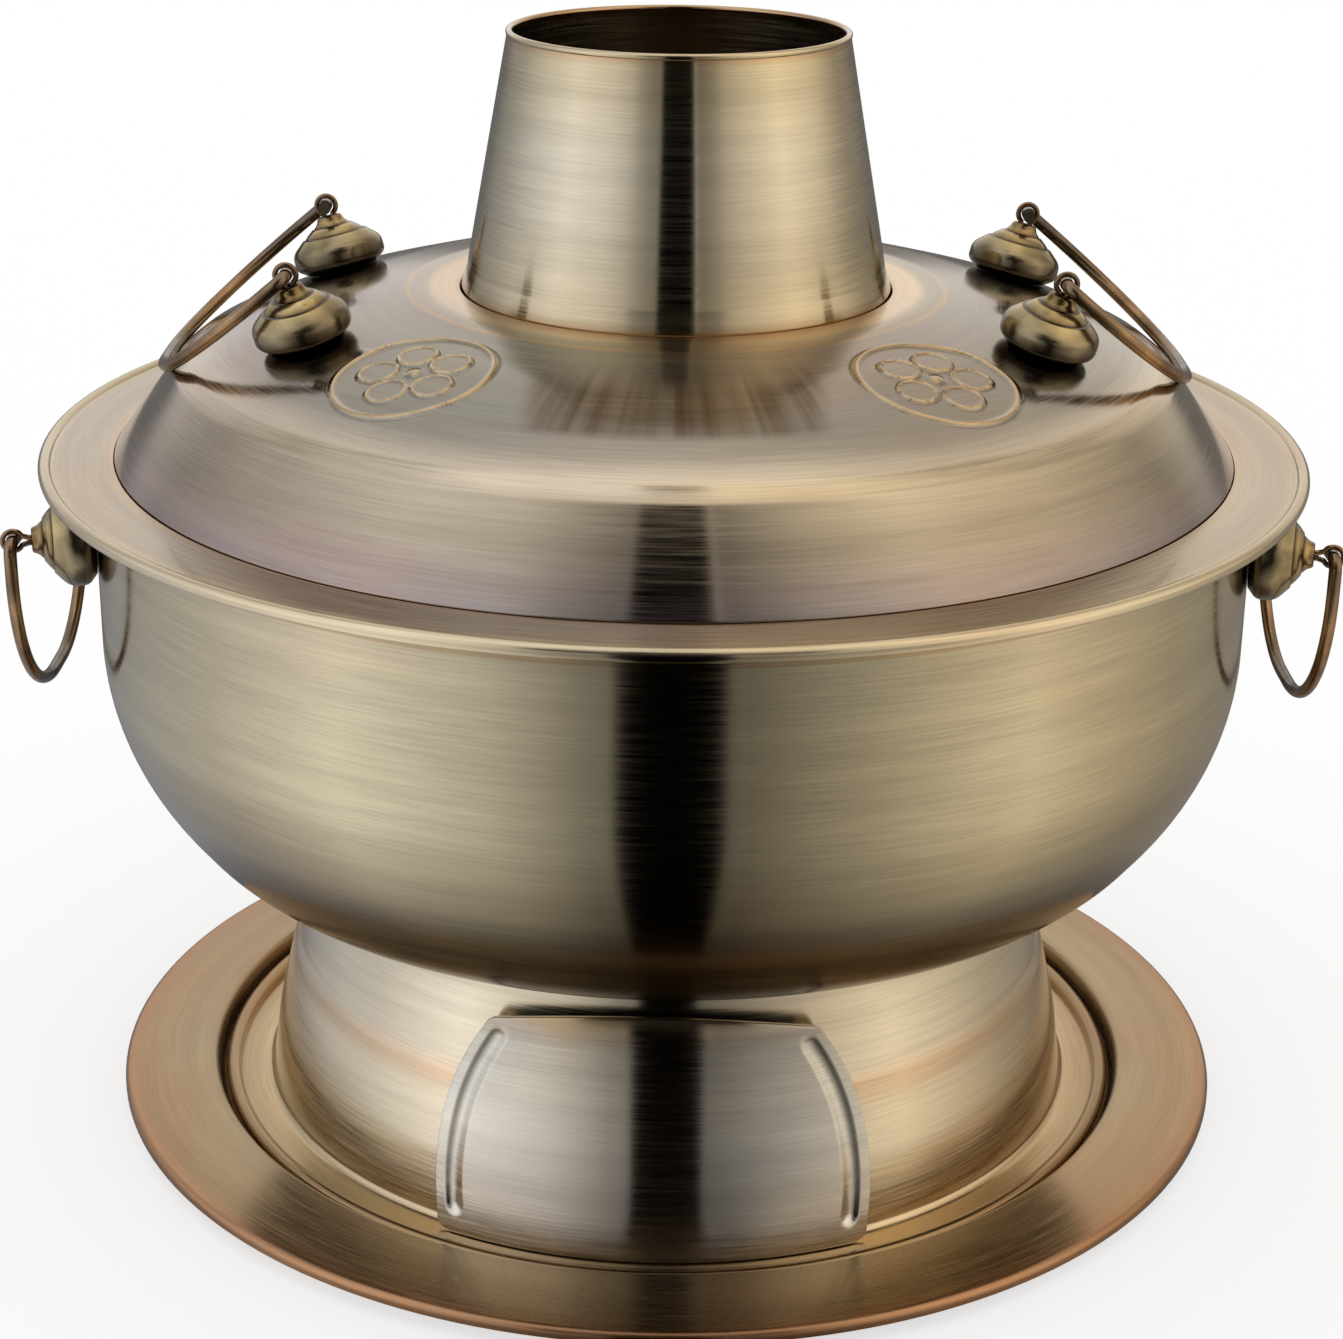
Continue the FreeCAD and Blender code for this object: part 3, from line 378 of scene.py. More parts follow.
# The lathe: each closed section in the XY plane is carried round the Z axis.
lathe, given = new_tree("lathe", Steps="Int", Material="Material")
spindle = 1 * MM
shifted = add(lathe, "GeometryNodeTransform",
              {"Geometry": given["Geometry"], "Translation": (-spindle, 0, 0), "Scale": (1, -1, 1)})
section = add(lathe, "GeometryNodeMeshToCurve", {"Mesh": shifted.outputs[0]})
circle = add(lathe, "GeometryNodeCurvePrimitiveCircle", {"Resolution": given["Steps"], "Radius": spindle})
swept = add(lathe, "GeometryNodeCurveToMesh", {"Curve": circle.outputs["Curve"],
                                               "Profile Curve": section.outputs[0]})
end_tree(lathe, swept.outputs[0], given["Material"])


def turned(loops, material, steps=ring_steps):
    """The mesh of closed sections, in millimetres, turned about the Z axis."""
    points, edges, places = [], [], []
    for loop, along in loops:
        first = len(points)
        count = len(loop)
        points += [(point.x * MM, point.y * MM, 0) for point in loop]
        edges += [(first + index, first + (index + 1) % count) for index in range(count)]
        places += [place * MM for place in along]
    mesh = bpy.data.meshes.new("section")
    mesh.from_pydata(points, edges, [])
    mesh.attributes.new("along", "FLOAT", "POINT").data.foreach_set("value", places)
    return closed(grown(lathe, mesh, Steps=steps, Material=material))


def brushed_brass(name, reach, plating_and_light_tints, warm="#B98558", warm_share=0.35, roughness=0.17, marks_and_painted_light=None):
    """Antique brass: steel sheet under a brass plating, brushed on the lathe and then lacquered.

    Brushing leaves hair lines round the piece, which smear reflections across them, and
    the lacquer over them keeps a thin sharp gloss. The colours along the sheet are set by
    their share of the reach along it: the plating's own tones, with painted highlights and
    painted shade worked into them on several pieces. A piece may lay more colour over this;
    on the lid that is gilt on the medallions and a painted reflection. The real hair lines
    are 0.1 mm wide and too fine to show, so they are drawn half a millimetre wide.
    """
    hair_width, hair_length = 0.5 * MM, 22 * MM
    sweep_width, sweep_length = 7 * MM, 160 * MM
    cloud_size = 70 * MM
    material, tree = material_tree(name)
    spot = add(tree, "ShaderNodeTexCoord").outputs["Object"]
    place = add(tree, "ShaderNodeAttribute", attribute_name="along").outputs["Fac"]

    def streaks(width, length, detail):
        level = vectors(tree, "MULTIPLY", spot, (1 / length, 1 / length, 0))
        rise = add(tree, "ShaderNodeCombineXYZ", {"Z": maths(tree, "MULTIPLY", place, 1 / width)}).outputs[0]
        return spread(tree, noise(tree, vectors(tree, "ADD", level, rise), 1.0, detail), 0.3, 0.7)

    hair = streaks(hair_width, hair_length, 3.0)
    sweep = streaks(sweep_width, sweep_length, 2.0)
    # The ramp along the sheet: the plating's tones with the piece's painted highlights and painted shade.
    tint = ramp(tree, spread(tree, place, high=reach * MM), plating_and_light_tints, "LINEAR")
    warmth = spread(tree, noise(tree, spot, 1 / cloud_size, 2.0), 0.45, 0.7, to_high=warm_share)
    plating_and_painted_light = mixed(tree, warmth, tint, linear(warm))
    marked_and_lit = marks_and_painted_light(tree, spot, plating_and_painted_light) if marks_and_painted_light else plating_and_painted_light
    worn = mixed(tree, 0.5, hair, sweep, "FLOAT")
    colour = vectors(tree, "MULTIPLY", marked_and_lit, spread(tree, worn, to_low=0.66))
    rough = spread(tree, hair, to_low=roughness - 0.04, to_high=roughness + 0.06)
    around = vectors(tree, "CROSS_PRODUCT", (0, 0, 1), spot)
    tangent = add(tree, "ShaderNodeVectorTransform", {0: around},
                  vector_type="VECTOR", convert_from="OBJECT", convert_to="WORLD")
    groove = add(tree, "ShaderNodeBump", {"Height": hair, "Strength": 0.06, "Distance": 0.05 * MM})
    surface = add(tree, "ShaderNodeBsdfPrincipled", {
        "Base Color": colour, "Metallic": 1.0, "Roughness": rough, "Anisotropic": 0.94,
        "Anisotropic Rotation": 0.25, "Tangent": tangent.outputs[0], "Normal": groove.outputs[0],
        "Coat Weight": 0.25, "Coat Roughness": 0.06})
    add(tree, "ShaderNodeOutputMaterial", {"Surface": surface.outputs[0]})
    return material


tray_corners = [(0, 1.0), (130.2, 1.0, 2.2), (131.6, 8.2, 1.6), (157.7, 7.2, 1.9), (157.7, 4.4)]
# The darker band in the ramp lies on the steep wall: painted shade. The copper towards the edge is the
# plating's own.
tray_brass = brushed_brass("tray_antique_brass", 167, [
    (0.0, "#C4B28E"), (0.76, "#C2AE88"), (0.80, "#A08560"), (0.83, "#B8A17C"), (0.94, "#B5976F"),
    (0.965, "#BD9069"), (1.0, "#A97C57")], roughness=0.24)
piece("tray_spun", turned([sheet_loop(tray_corners)], tray_brass), "tray", "brushed_brass", "tray")


# ---------------------------------------------------------------------- foot
# A skirt spun from steel sheet and welded under the bowl. It has a soft ridge below
# its neck, a rolled bead that stands in the tray, and an air opening at the front.

bead_wire, bead_edge = 2.2, 129.0
bead_up = 1.3 + bead_wire
flange_top = 2.9
opening_half, opening_low, opening_high, opening_bend = 37.0, 9.0, 53.5, 6.0
cut_near, cut_far = -140, -60
foot_corners = [(93.0, 79.0), (104.5, 79.0, 1.6), (103.8, 65.0, 30.0), (106.6, 46.0, 4.0), (107.9, 42.6, 4.0),
                (112.8, 21.5, 90.0), (115.4, flange_top, 2.5), (bead_edge - bead_wire, flange_top)]
# The ramp holds a painted highlight: the peach band along the soft ridge. The pale cream over the skirt is
# partly the brass's tone and partly painted light, lifted nearly to white; it darkens towards the flange.
foot_brass = brushed_brass("foot_antique_brass", 103, [
    (0.0, "#B7A27C"), (0.14, "#F3E9CC"), (0.42, "#F6ECD0"), (0.47, "#F2D4B0"), (0.53, "#F8EACA"),
    (0.78, "#F6EAC8"), (0.87, "#D2B88C"), (1.0, "#A98C64")], warm_share=0.2)
foot_bead = bead_loop(bead_edge - bead_wire, bead_up, bead_wire, 100)
foot_mesh = turned([sheet_loop(foot_corners), foot_bead], foot_brass)


def prism(outline, near, far):
    """A closed outline in the XZ plane, carried along Y between two places."""
    shape = bmesh.new()
    front = shape.faces.new([shape.verts.new((x * MM, near * MM, z * MM)) for x, z in outline])
    pushed = bmesh.ops.extrude_face_region(shape, geom=[front])["geom"]
    bmesh.ops.translate(shape, verts=[item for item in pushed if isinstance(item, bmesh.types.BMVert)],
                        vec=(0, (far - near) * MM, 0))
    bmesh.ops.recalc_face_normals(shape, faces=shape.faces)
    mesh = bpy.data.meshes.new("prism")
    shape.to_mesh(mesh)
    shape.free()
    return mesh


def with_cut(mesh, tool):
    """The mesh with the tool's shape cut out of it."""
    base, knife = (bpy.data.objects.new(name, data) for name, data in (("base", mesh), ("knife", tool)))
    scene.collection.objects.link(base)
    scene.collection.objects.link(knife)
    cutting = base.modifiers.new("cut", "BOOLEAN")
    cutting.object = knife
    cutting.solver = "EXACT"
    result = bpy.data.meshes.new_from_object(base.evaluated_get(bpy.context.evaluated_depsgraph_get()))
    bpy.data.objects.remove(base)
    bpy.data.objects.remove(knife)
    return result


opening_outline = rounded([
    (0, opening_low), (opening_half, opening_low, opening_bend), (opening_half, opening_high, opening_bend),
    (-opening_half, opening_high, opening_bend), (-opening_half, opening_low, opening_bend),
    (0, opening_low)])[:-1]
foot_mesh = closed(with_cut(foot_mesh, prism(opening_outline, cut_near, cut_far)))
piece("foot_spun", foot_mesh, "pot", "brushed_brass", "foot_skirt")


# ------------------------------------------------------------------ air door
# A pressed plate that stands on the foot's flange and slides round it to let air
# in. It leans in above its hook and flares at its foot, and two ribs stiffen it.

door_turn = math.radians(-1.9)
door_low = 3.3
door_top_fall = 4.5
door_high = door_low + 63.6
door_corner_up = door_high - door_top_fall
door_base_radius, door_slope = 118.8, 8.9 / 59
door_tuck, door_lean = 0.8, 1.5
door_flare, flare_up = 1.0, 18.0
hook_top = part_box("door_hook")[1].z / MM + 1
door_top_half, door_base_half = 42.2, 56.0
door_wide, door_shoulder = (57.2, door_low + 16, 70), (53.5, door_low + 41, 75)
door_corner, door_corner_run = 2.9, 3.0
rib_inset, rib_width, rib_depth = 5.0, 5.0, 0.9
rib_low_room, rib_top_room, rib_steps = 7.0, 4.4, 24
door_rows, coarse_columns, fine_columns = 72, 18, 40
fine_from = 0.80


def edge_half(path, up):
    """How far a path that climbs lies from the middle, at a height."""
    for first, second in zip(path, path[1:]):
        if first.y <= up <= second.y:
            return first.x + (second.x - first.x) * (up - first.y) / max(second.y - first.y, 1e-9)
    return path[-1].x if up > path[-1].y else path[0].x


door_side = rounded([
    (door_base_half - door_corner_run, door_low), (door_base_half, door_low, door_corner), door_wide,
    door_shoulder, (door_top_half, door_corner_up, door_corner),
    (door_top_half - door_corner_run, door_corner_up + 0.1)])
rib_low, rib_high = door_low + rib_low_room, door_corner_up - rib_top_room
rib_ups = [rib_low + (rib_high - rib_low) * step / rib_steps for step in range(rib_steps + 1)]
rib_line = [Vector((edge_half(door_side, up) - rib_inset, up)) for up in rib_ups]
right_shares = [fine_from * step / coarse_columns for step in range(coarse_columns)]
right_shares += [fine_from + (1 - fine_from) * step / fine_columns for step in range(fine_columns + 1)]
door_shares = [-share for share in right_shares[:0:-1]] + right_shares


def from_line(path, x, up):
    """How far a point lies from a path."""
    here = Vector((x, up))
    nearest = 1e9
    for first, second in zip(path, path[1:]):
        run = second - first
        share = min(max((here - first).dot(run) / run.length_squared, 0), 1)
        nearest = min(nearest, (here - first - run * share).length)
    return nearest


def swell(distance, half_width):
    """A round ridge: one in its middle and nought beyond its half width."""
    return math.cos(min(distance / half_width, 1) * math.pi / 2) ** 1.3


def door_sheet(depth):
    """A grid of points over the door's face, some depth behind it."""
    points = []
    for row in range(door_rows + 1):
        share_up = row / door_rows
        side_up = door_low + (door_corner_up - door_low) * share_up
        half = edge_half(door_side, side_up)
        for share in door_shares:
            x = half * share
            up = side_up + door_top_fall * share_up * max(1 - (x / door_top_half) ** 2, 0)
            above_hook = max(up - hook_top, 0) / (door_high - hook_top)
            lean = door_lean * above_hook ** 2 + door_tuck * up / hook_top
            flare = door_flare * max(1 - (up - door_low) / flare_up, 0) ** 2
            cone = door_base_radius - door_slope * (up - door_low) - lean + flare
            pressed = rib_depth * swell(from_line(rib_line, abs(x), up), rib_width / 2)
            radius = cone - depth - pressed
            turn = math.asin(x / radius) + door_turn
            points.append(Vector((radius * math.sin(turn), -radius * math.cos(turn), up)) * MM)
    return points


def two_sided(front, back, rows, columns):
    """A closed plate between two grids of points."""
    count = rows * columns

    def place(row, column, side):
        return side * count + row * columns + column

    faces = []
    for row in range(rows - 1):
        for column in range(columns - 1):
            corners = [(row, column), (row, column + 1), (row + 1, column + 1), (row + 1, column)]
            faces.append([place(*corner, 0) for corner in corners])
            faces.append([place(*corner, 1) for corner in corners[::-1]])
    border = [(0, column) for column in range(columns)] + [(row, columns - 1) for row in range(1, rows)]
    border += [(rows - 1, column) for column in range(columns - 2, -1, -1)]
    border += [(row, 0) for row in range(rows - 2, 0, -1)]
    for first, second in zip(border, border[1:] + border[:1]):
        faces.append([place(*second, 0), place(*first, 0), place(*first, 1), place(*second, 1)])
    mesh = bpy.data.meshes.new("plate")
    mesh.from_pydata(front + back, [], faces)
    return mesh


def eased(mesh, width):
    """The mesh with its sharp edges rounded off."""
    base = bpy.data.objects.new("base", mesh)
    scene.collection.objects.link(base)
    easing = base.modifiers.new("ease", "BEVEL")
    easing.width = width
    easing.segments = 2
    easing.limit_method = "ANGLE"
    easing.angle_limit = math.radians(50)
    result = bpy.data.meshes.new_from_object(base.evaluated_get(bpy.context.evaluated_depsgraph_get()))
    bpy.data.objects.remove(base)
    return result


def along_height(mesh):
    """Stores each point's height as its place along the sheet."""
    heights = [corner.co.z for corner in mesh.vertices]
    mesh.attributes.new("along", "FLOAT", "POINT").data.foreach_set("value", heights)
    return mesh


# The ramp is near white over the whole plate and palest at its foot: painted light that makes up for the dark
# floor its lower part reflects. The blue-grey clouds are the plating's own.
door_brass = brushed_brass("door_antique_brass", 64, [
    (0.0, "#E0D2B4"), (0.06, "#F0EADC"), (0.5, "#ECE6D6"), (0.9, "#ECE2CA"), (1.0, "#D0B78E")],
    warm="#9DAAB6", warm_share=0.55)
door_mesh = along_height(closed(eased(
    two_sided(door_sheet(0), door_sheet(sheet_gauge), door_rows + 1, len(door_shares)), 0.3 * MM)))
door_mesh.materials.append(door_brass)
piece("air_door_pressed", door_mesh, "air_door", "brushed_brass", "air_door")


# ---------------------------------------------------------------------- bowl
# A deep bowl spun from steel sheet: a straight wall, a round shoulder and knee, and
# a flat floor with a draught hole in its middle.

bowl_corners = [(156.2, 188.2), (156.2, 115.2, 72.0), (128.0, 79.0, 33.0), (47.0, 79.0)]
# The ramp darkens down the shoulder and knee: the plating's olive tone deepened by painted shade, standing in
# for the dark tray and foot that the lower bowl reflects.
bowl_brass = brushed_brass("bowl_antique_brass", 190, [
    (0.0, "#D3C8A8"), (0.28, "#CFC5A4"), (0.36, "#A1977A"), (0.44, "#756C54"), (0.53, "#645940"),
    (0.61, "#51452B"), (1.0, "#453A25")], warm_share=0.15)
piece("bowl_spun", turned([sheet_loop(bowl_corners)], bowl_brass), "pot", "brushed_brass", "bowl")


# ------------------------------------------------------------------ rim ring
# A flat ring pressed on the bowl's edge. Its outer edge is rolled over a wire, its
# inner edge steps down to seat the lid, and a collar grips the bowl's wall.

rim_top, rim_edge, rim_wire = 189.2, 170.0, 1.8
seat_up = rim_top - 3.0
rim_corners = [(145.2, seat_up - 5.0), (145.2, seat_up, 1.2), (150.2, seat_up, 0.5), (150.4, rim_top, 0.3),
               (rim_edge - rim_wire, rim_top)]
collar_corners = [(156.7, rim_top - 0.5), (157.2, rim_top - 0.5, 0.4), (157.2, rim_top - 8.2)]
rim_brass = brushed_brass("rim_antique_brass", 31, [
    (0.0, "#C2AC86"), (0.3, "#C8B28C"), (0.40, "#D6BA94"), (0.5, "#C4B69A"), (0.8, "#C0B196"),
    (0.92, "#D6C5A0"), (1.0, "#E6D8B6")], warm_share=0.2)
rim_bead = bead_loop(rim_edge - rim_wire, rim_top - rim_wire / 2, rim_wire, 26)
rim_mesh = turned([sheet_loop(rim_corners), sheet_loop(collar_corners), rim_bead], rim_brass)
piece("rim_ring_rolled", rim_mesh, "pot", "brushed_brass", "rim_ring")


# ---------------------------------------------------- fire tube and its grate
# A tapered tube welded to the bowl's floor, left as it was spun. A slotted disc of
# sand-cast iron lies inside it over the draught hole, grey and slightly rough.

tube_brass = brushed_brass("tube_antique_brass", 160, [(0.0, "#B7A27C"), (0.5, "#A59470"), (1.0, "#8A7654")])
tube_corners, tube_gauge = [(57.1, 228.9), (68.3, 81.2, 2.0), (76.3, 81.2)], 1.2
tube_mesh = turned([sheet_loop(tube_corners, tube_gauge)], tube_brass)
piece("fire_tube_spun", tube_mesh, "pot", "brushed_brass", "fire_tube")

grate_iron, tree = material_tree("cast_iron")
sand_grain = 1.2 * MM
spot = add(tree, "ShaderNodeTexCoord").outputs["Object"]
grain = noise(tree, spot, 1 / sand_grain, 3.0)
iron = ramp(tree, grain, [(0.3, "#2B2A29"), (0.7, "#4A4744")], "LINEAR")
pits = add(tree, "ShaderNodeBump", {"Height": grain, "Strength": 0.4, "Distance": 0.2 * MM})
surface = add(tree, "ShaderNodeBsdfPrincipled", {"Base Color": iron, "Metallic": 1.0, "Roughness": 0.62,
                                                 "Normal": pits.outputs[0]})
add(tree, "ShaderNodeOutputMaterial", {"Surface": surface.outputs[0]})
frame["nodes"]["charcoal_grate"].data.materials[0] = grate_iron


# ------------------------------------------------------------------- chimney
# A tapered flue spun from sheet, with a rolled lip and a slight flare at its foot.
# Its step rests on the fire tube's top edge, and the spigot below plugs into the tube.

lip_radius, lip_up, lip_wire = 44.6, 297.7, 0.9
step_up, spigot_radius, spigot_length = 229.2, 55.3, 13.0
chimney_foot, chimney_steps = 57.25, 128
chimney_corners = [(lip_radius, lip_up), (55.64, step_up + 8.0, 6.0), (chimney_foot, step_up + 2.4, 0.8),
                   (chimney_foot, step_up), (spigot_radius, step_up, 0.5),
                   (spigot_radius, step_up - spigot_length)]
# The ramp darkens at the chimney's foot, just above the lid: painted shade of the gap round the lid's hole.
# The copper at the lip is the plating's own.
chimney_brass = brushed_brass("chimney_antique_brass", 84, [
    (0.0, "#C49C72"), (0.03, "#D6C7A2"), (0.3, "#D6CDB4"), (0.5, "#D6CCB2"), (0.77, "#D2C4A2"),
    (0.81, "#A98A60"), (1.0, "#8A7654")], warm_share=0.1, roughness=0.15)
chimney_loops = [sheet_loop(chimney_corners), bead_loop(lip_radius - 0.5, lip_up, lip_wire, 0)]
chimney_mesh = turned(chimney_loops, chimney_brass, chimney_steps)
piece("chimney_spun", chimney_mesh, "chimney", "brushed_brass", "chimney")


# ----------------------------------------------------------------------- lid
# A dome spun from sheet, with a flat crown round the chimney and a slanting skirt.
# Two stamped medallions stand on its front: a ring round a five-petalled blossom.

lid_corners = [(57.6, 228.3), (57.6, 231.3, 0.6), (69.5, 231.3, 30.0), (92.0, 227.8, 90.0),
               (113.0, 221.9, 90.0), (129.4, 215.0, 6.0), (133.4, 211.9, 5.0), (150.2, 189.5, 0.4),
               (149.6, 186.5)]
medallion_reach, medallion_turn, medallion_radius = 99.0, math.radians(40), 21.4
medallion_ring, relief_height = 2.4, 0.8
petals, petal_reach, petal_radius, petal_line, blossom_eye = 5, 9.6, 4.9, 1.5, 2.8
petal_face, ground_face = 0.35, 0.1
stamped_from, stamped_to = 74.0, 124.0
stamp_step, plain_step = 0.55, math.radians(2.4)
stamped_zone = math.radians(15)
lid_lean = math.atan2(5.9, 21.0)


def blossom(x, y):
    """The height of the stamped relief at a place on the medallion, nought to one."""
    reach = math.hypot(x, y)
    if reach > medallion_radius + 1:
        return 0.0
    height = swell(abs(reach - medallion_radius + medallion_ring / 2), medallion_ring / 2)
    for petal in range(petals):
        way = math.pi / 2 + math.tau * petal / petals
        out = math.hypot(x - petal_reach * math.cos(way), y - petal_reach * math.sin(way))
        line = swell(abs(out - petal_radius), petal_line / 2)
        height = max(height, line, petal_face * (out < petal_radius))
    return max(height, swell(reach, blossom_eye))


def spaced(path, low, high, step):
    """The path with more points where it lies between two radii."""
    closer = []
    for first, second in zip(path, path[1:]):
        closer.append(first)
        inside = first.x < high and second.x > low
        count = math.ceil((second - first).length / step) if inside else 1
        closer += [first.lerp(second, part / count) for part in range(1, count)]
    return closer + [path[-1]]


def lid_headings():
    """The columns of the lid's mesh: close together where a medallion is stamped."""
    headings, here = [], -math.pi
    fine = stamp_step / medallion_reach
    while here < math.pi - fine / 2:
        headings.append(here)
        near = abs(abs(here) - medallion_turn) < stamped_zone
        here += fine if near else plain_step
        for edge in (-medallion_turn - stamped_zone, medallion_turn - stamped_zone):
            if headings[-1] < edge < here:
                here = edge
    return headings


def lid_mesh():
    """The lid's closed sheet, with the medallions raised on its outside."""
    path = rounded(lid_corners)
    outer = spaced(path, stamped_from, stamped_to, stamp_step)
    inner = offset(path, sheet_gauge)[::-1]
    ups = offset(outer, -1.0)
    outer_along, inner_along = lengths(outer), lengths(path)[::-1]
    headings = lid_headings()
    points, places, stamps = [], [], []
    for heading in headings:
        turn = math.copysign(medallion_turn, heading)
        for here, above, along in zip(outer, ups, outer_along):
            x, y = here.x * math.sin(heading), here.x * math.cos(heading)
            level = (x * math.sin(turn) + y * math.cos(turn) - medallion_reach) / math.cos(lid_lean)
            across = x * math.cos(turn) - y * math.sin(turn)
            stamp = blossom(across, level)
            risen = here + (above - here) * relief_height * stamp
            points.append(Vector((risen.x * math.sin(heading), -risen.x * math.cos(heading), risen.y)) * MM)
            places.append(along * MM)
            stamps.append(max(stamp, ground_face * (math.hypot(across, level) < medallion_radius)))
        for here, along in zip(inner, inner_along):
            points.append(Vector((here.x * math.sin(heading), -here.x * math.cos(heading), here.y)) * MM)
            places.append(along * MM)
            stamps.append(0.0)
    rows = len(outer) + len(inner)
    columns = len(headings)
    faces = []
    for column in range(columns):
        beside = (column + 1) % columns
        for row in range(rows):
            above = (row + 1) % rows
            faces.append([line * rows + place for line, place in (
                (column, row), (beside, row), (beside, above), (column, above))])
    mesh = bpy.data.meshes.new("lid")
    mesh.from_pydata(points, [], faces)
    mesh.attributes.new("along", "FLOAT", "POINT").data.foreach_set("value", places)
    mesh.attributes.new("stamp", "FLOAT", "POINT").data.foreach_set("value", stamps)
    return closed(mesh, math.radians(60))


# The lid's painted reflection: a dark fan of radial streaks on the crown in front of the chimney.
fan_half, fan_side, fan_end = 38.0, 7.0, 117.0
fan_from, fan_full = 68.0, 96.0
fan_streak = math.radians(2.8)


def lid_gilt_and_painted_reflection(tree, spot, colour):
    """Golden ridges on the medallions, and before the chimney a painted reflection: a dark fan of radial
    streaks.
    """
    stamp = add(tree, "ShaderNodeAttribute", attribute_name="stamp").outputs["Fac"]
    sunk = spread(tree, stamp, high=ground_face, to_high=0.25)
    gilt = spread(tree, stamp, 0.3, 0.8, to_high=0.7)
    stamped = mixed(tree, gilt, mixed(tree, sunk, colour, linear("#8C7F66")), linear("#DDBD8C"))
    split = add(tree, "ShaderNodeSeparateXYZ", {0: spot}).outputs
    ahead = maths(tree, "MULTIPLY", split["Y"], -1.0)
    heading = maths(tree, "ARCTAN2", split["X"], ahead)
    reach = vectors(tree, "LENGTH", vectors(tree, "MULTIPLY", spot, (1, 1, 0)))
    opened = spread(tree, reach, fan_from * MM, fan_full * MM, steps="SMOOTHSTEP")
    across = maths(tree, "ABSOLUTE", split["X"])
    within = spread(tree, across, fan_half * MM, (fan_half - fan_side) * MM, steps="SMOOTHSTEP")
    fringe = ramp(tree, maths(tree, "DIVIDE", reach, fan_end * MM),
                  [(0.6, 0.55), (0.86, 1.0), (0.95, 0.9), (0.99, 0.0)])
    # The streaks of the painted reflection, by heading round the chimney.
    lines = add(tree, "ShaderNodeTexNoise", {"W": maths(tree, "MULTIPLY", heading, 1 / fan_streak),
                                             "Scale": 1.0, "Detail": 2.0}, noise_dimensions="1D")
    rubbed = spread(tree, lines.outputs["Fac"], 0.35, 0.65, 0.42, 0.9)
    share = maths(tree, "GREATER_THAN", ahead, 0.0)
    for part in (opened, within, fringe, rubbed):
        share = maths(tree, "MULTIPLY", share, part)
    return mixed(tree, share, stamped, linear("#5E4522"))


# The ramp holds painted light: the golden band round the hole is a painted reflection of the chimney, and the
# light bands on the crease round the crown and along the shoulder are painted highlights. The mauve-grey
# towards the hem is the plating's own tone.
lid_brass = brushed_brass("lid_antique_brass", 111, [
    (0.0, "#B08F60"), (0.04, "#E6C89A"), (0.085, "#EFD3A6"), (0.11, "#B5A684"), (0.14, "#A39A84"),
    (0.15, "#C6A674"), (0.165, "#A09A88"), (0.5, "#9C988A"), (0.6, "#ABA392"), (0.66, "#D6CAB2"),
    (0.715, "#E4D3B4"), (0.75, "#BDB096"), (0.86, "#B0A48E"), (0.93, "#AC9E92"), (0.98, "#A0958F"),
    (1.0, "#9A8F88")],
    warm="#A98570", warm_share=0.35, roughness=0.13, marks_and_painted_light=lid_gilt_and_painted_reflection)
lid = lid_mesh()
lid.materials.append(lid_brass)
piece("lid_stamped", lid, "lid", "brushed_brass", "lid")


# --------------------------------------------------------------------- knobs
# Eight hollow knobs turned from brass, four on the lid and four on the bowl: a fat
# belly under three small steps. Dark antique plating stays in their grooves.

knob_room = 0.2
knob_shoulder = 11.0
knob_corners = [(1.6, 0.0), (9.8, 0.0, 0.6), (12.8, 2.4, 2.8), (12.7, 7.4, 4.4), (9.0, knob_shoulder),
                (8.3, 11.1, 0.3), (7.2, 12.2, 2.4), (5.6, 13.4), (5.0, 13.5, 0.3), (3.8, 14.8, 2.0),
                (3.2, 16.4, 0.8), (1.6, 16.4)]
knob_steps = 56
lid_knob_place = {
    "Reach": 102.5, "Height": 224.85, "Turn": math.radians(23.6), "Lean": lid_lean, "Cut": 1.3}
pot_knob_place = {
    "Reach": 156.2, "Height": 170.3, "Turn": math.radians(13.5), "Lean": math.pi / 2, "Cut": 0.0}

places_tree, given = new_tree("four_places", Reach="Float", Height="Float", Turn="Float", Lean="Float",
                              Material="Material")
index = add(places_tree, "GeometryNodeInputIndex").outputs[0]
sign = maths(places_tree, "MULTIPLY_ADD", maths(places_tree, "MODULO", index, 2.0), -2.0, 1.0)
later = maths(places_tree, "FLOOR", maths(places_tree, "MULTIPLY_ADD", index, 0.5, 0.5))
half_turn = maths(places_tree, "MULTIPLY", maths(places_tree, "MODULO", later, 2.0), math.pi)
heading = maths(places_tree, "MULTIPLY_ADD", given["Turn"], sign, half_turn)
facing = add(places_tree, "ShaderNodeCombineXYZ", {"Y": given["Lean"], "Z": heading})
ahead = add(places_tree, "ShaderNodeCombineXYZ", {"X": given["Reach"], "Z": given["Height"]})
standing = add(places_tree, "ShaderNodeVectorRotate", {"Vector": ahead.outputs[0], "Angle": heading},
               rotation_type="Z_AXIS")
points = add(places_tree, "GeometryNodePoints", {"Count": 4, "Position": standing.outputs[0]})
copies = add(places_tree, "GeometryNodeInstanceOnPoints", {
    "Points": points.outputs[0], "Instance": given["Geometry"], "Rotation": facing.outputs[0]})
end_tree(places_tree, copies.outputs[0], given["Material"])


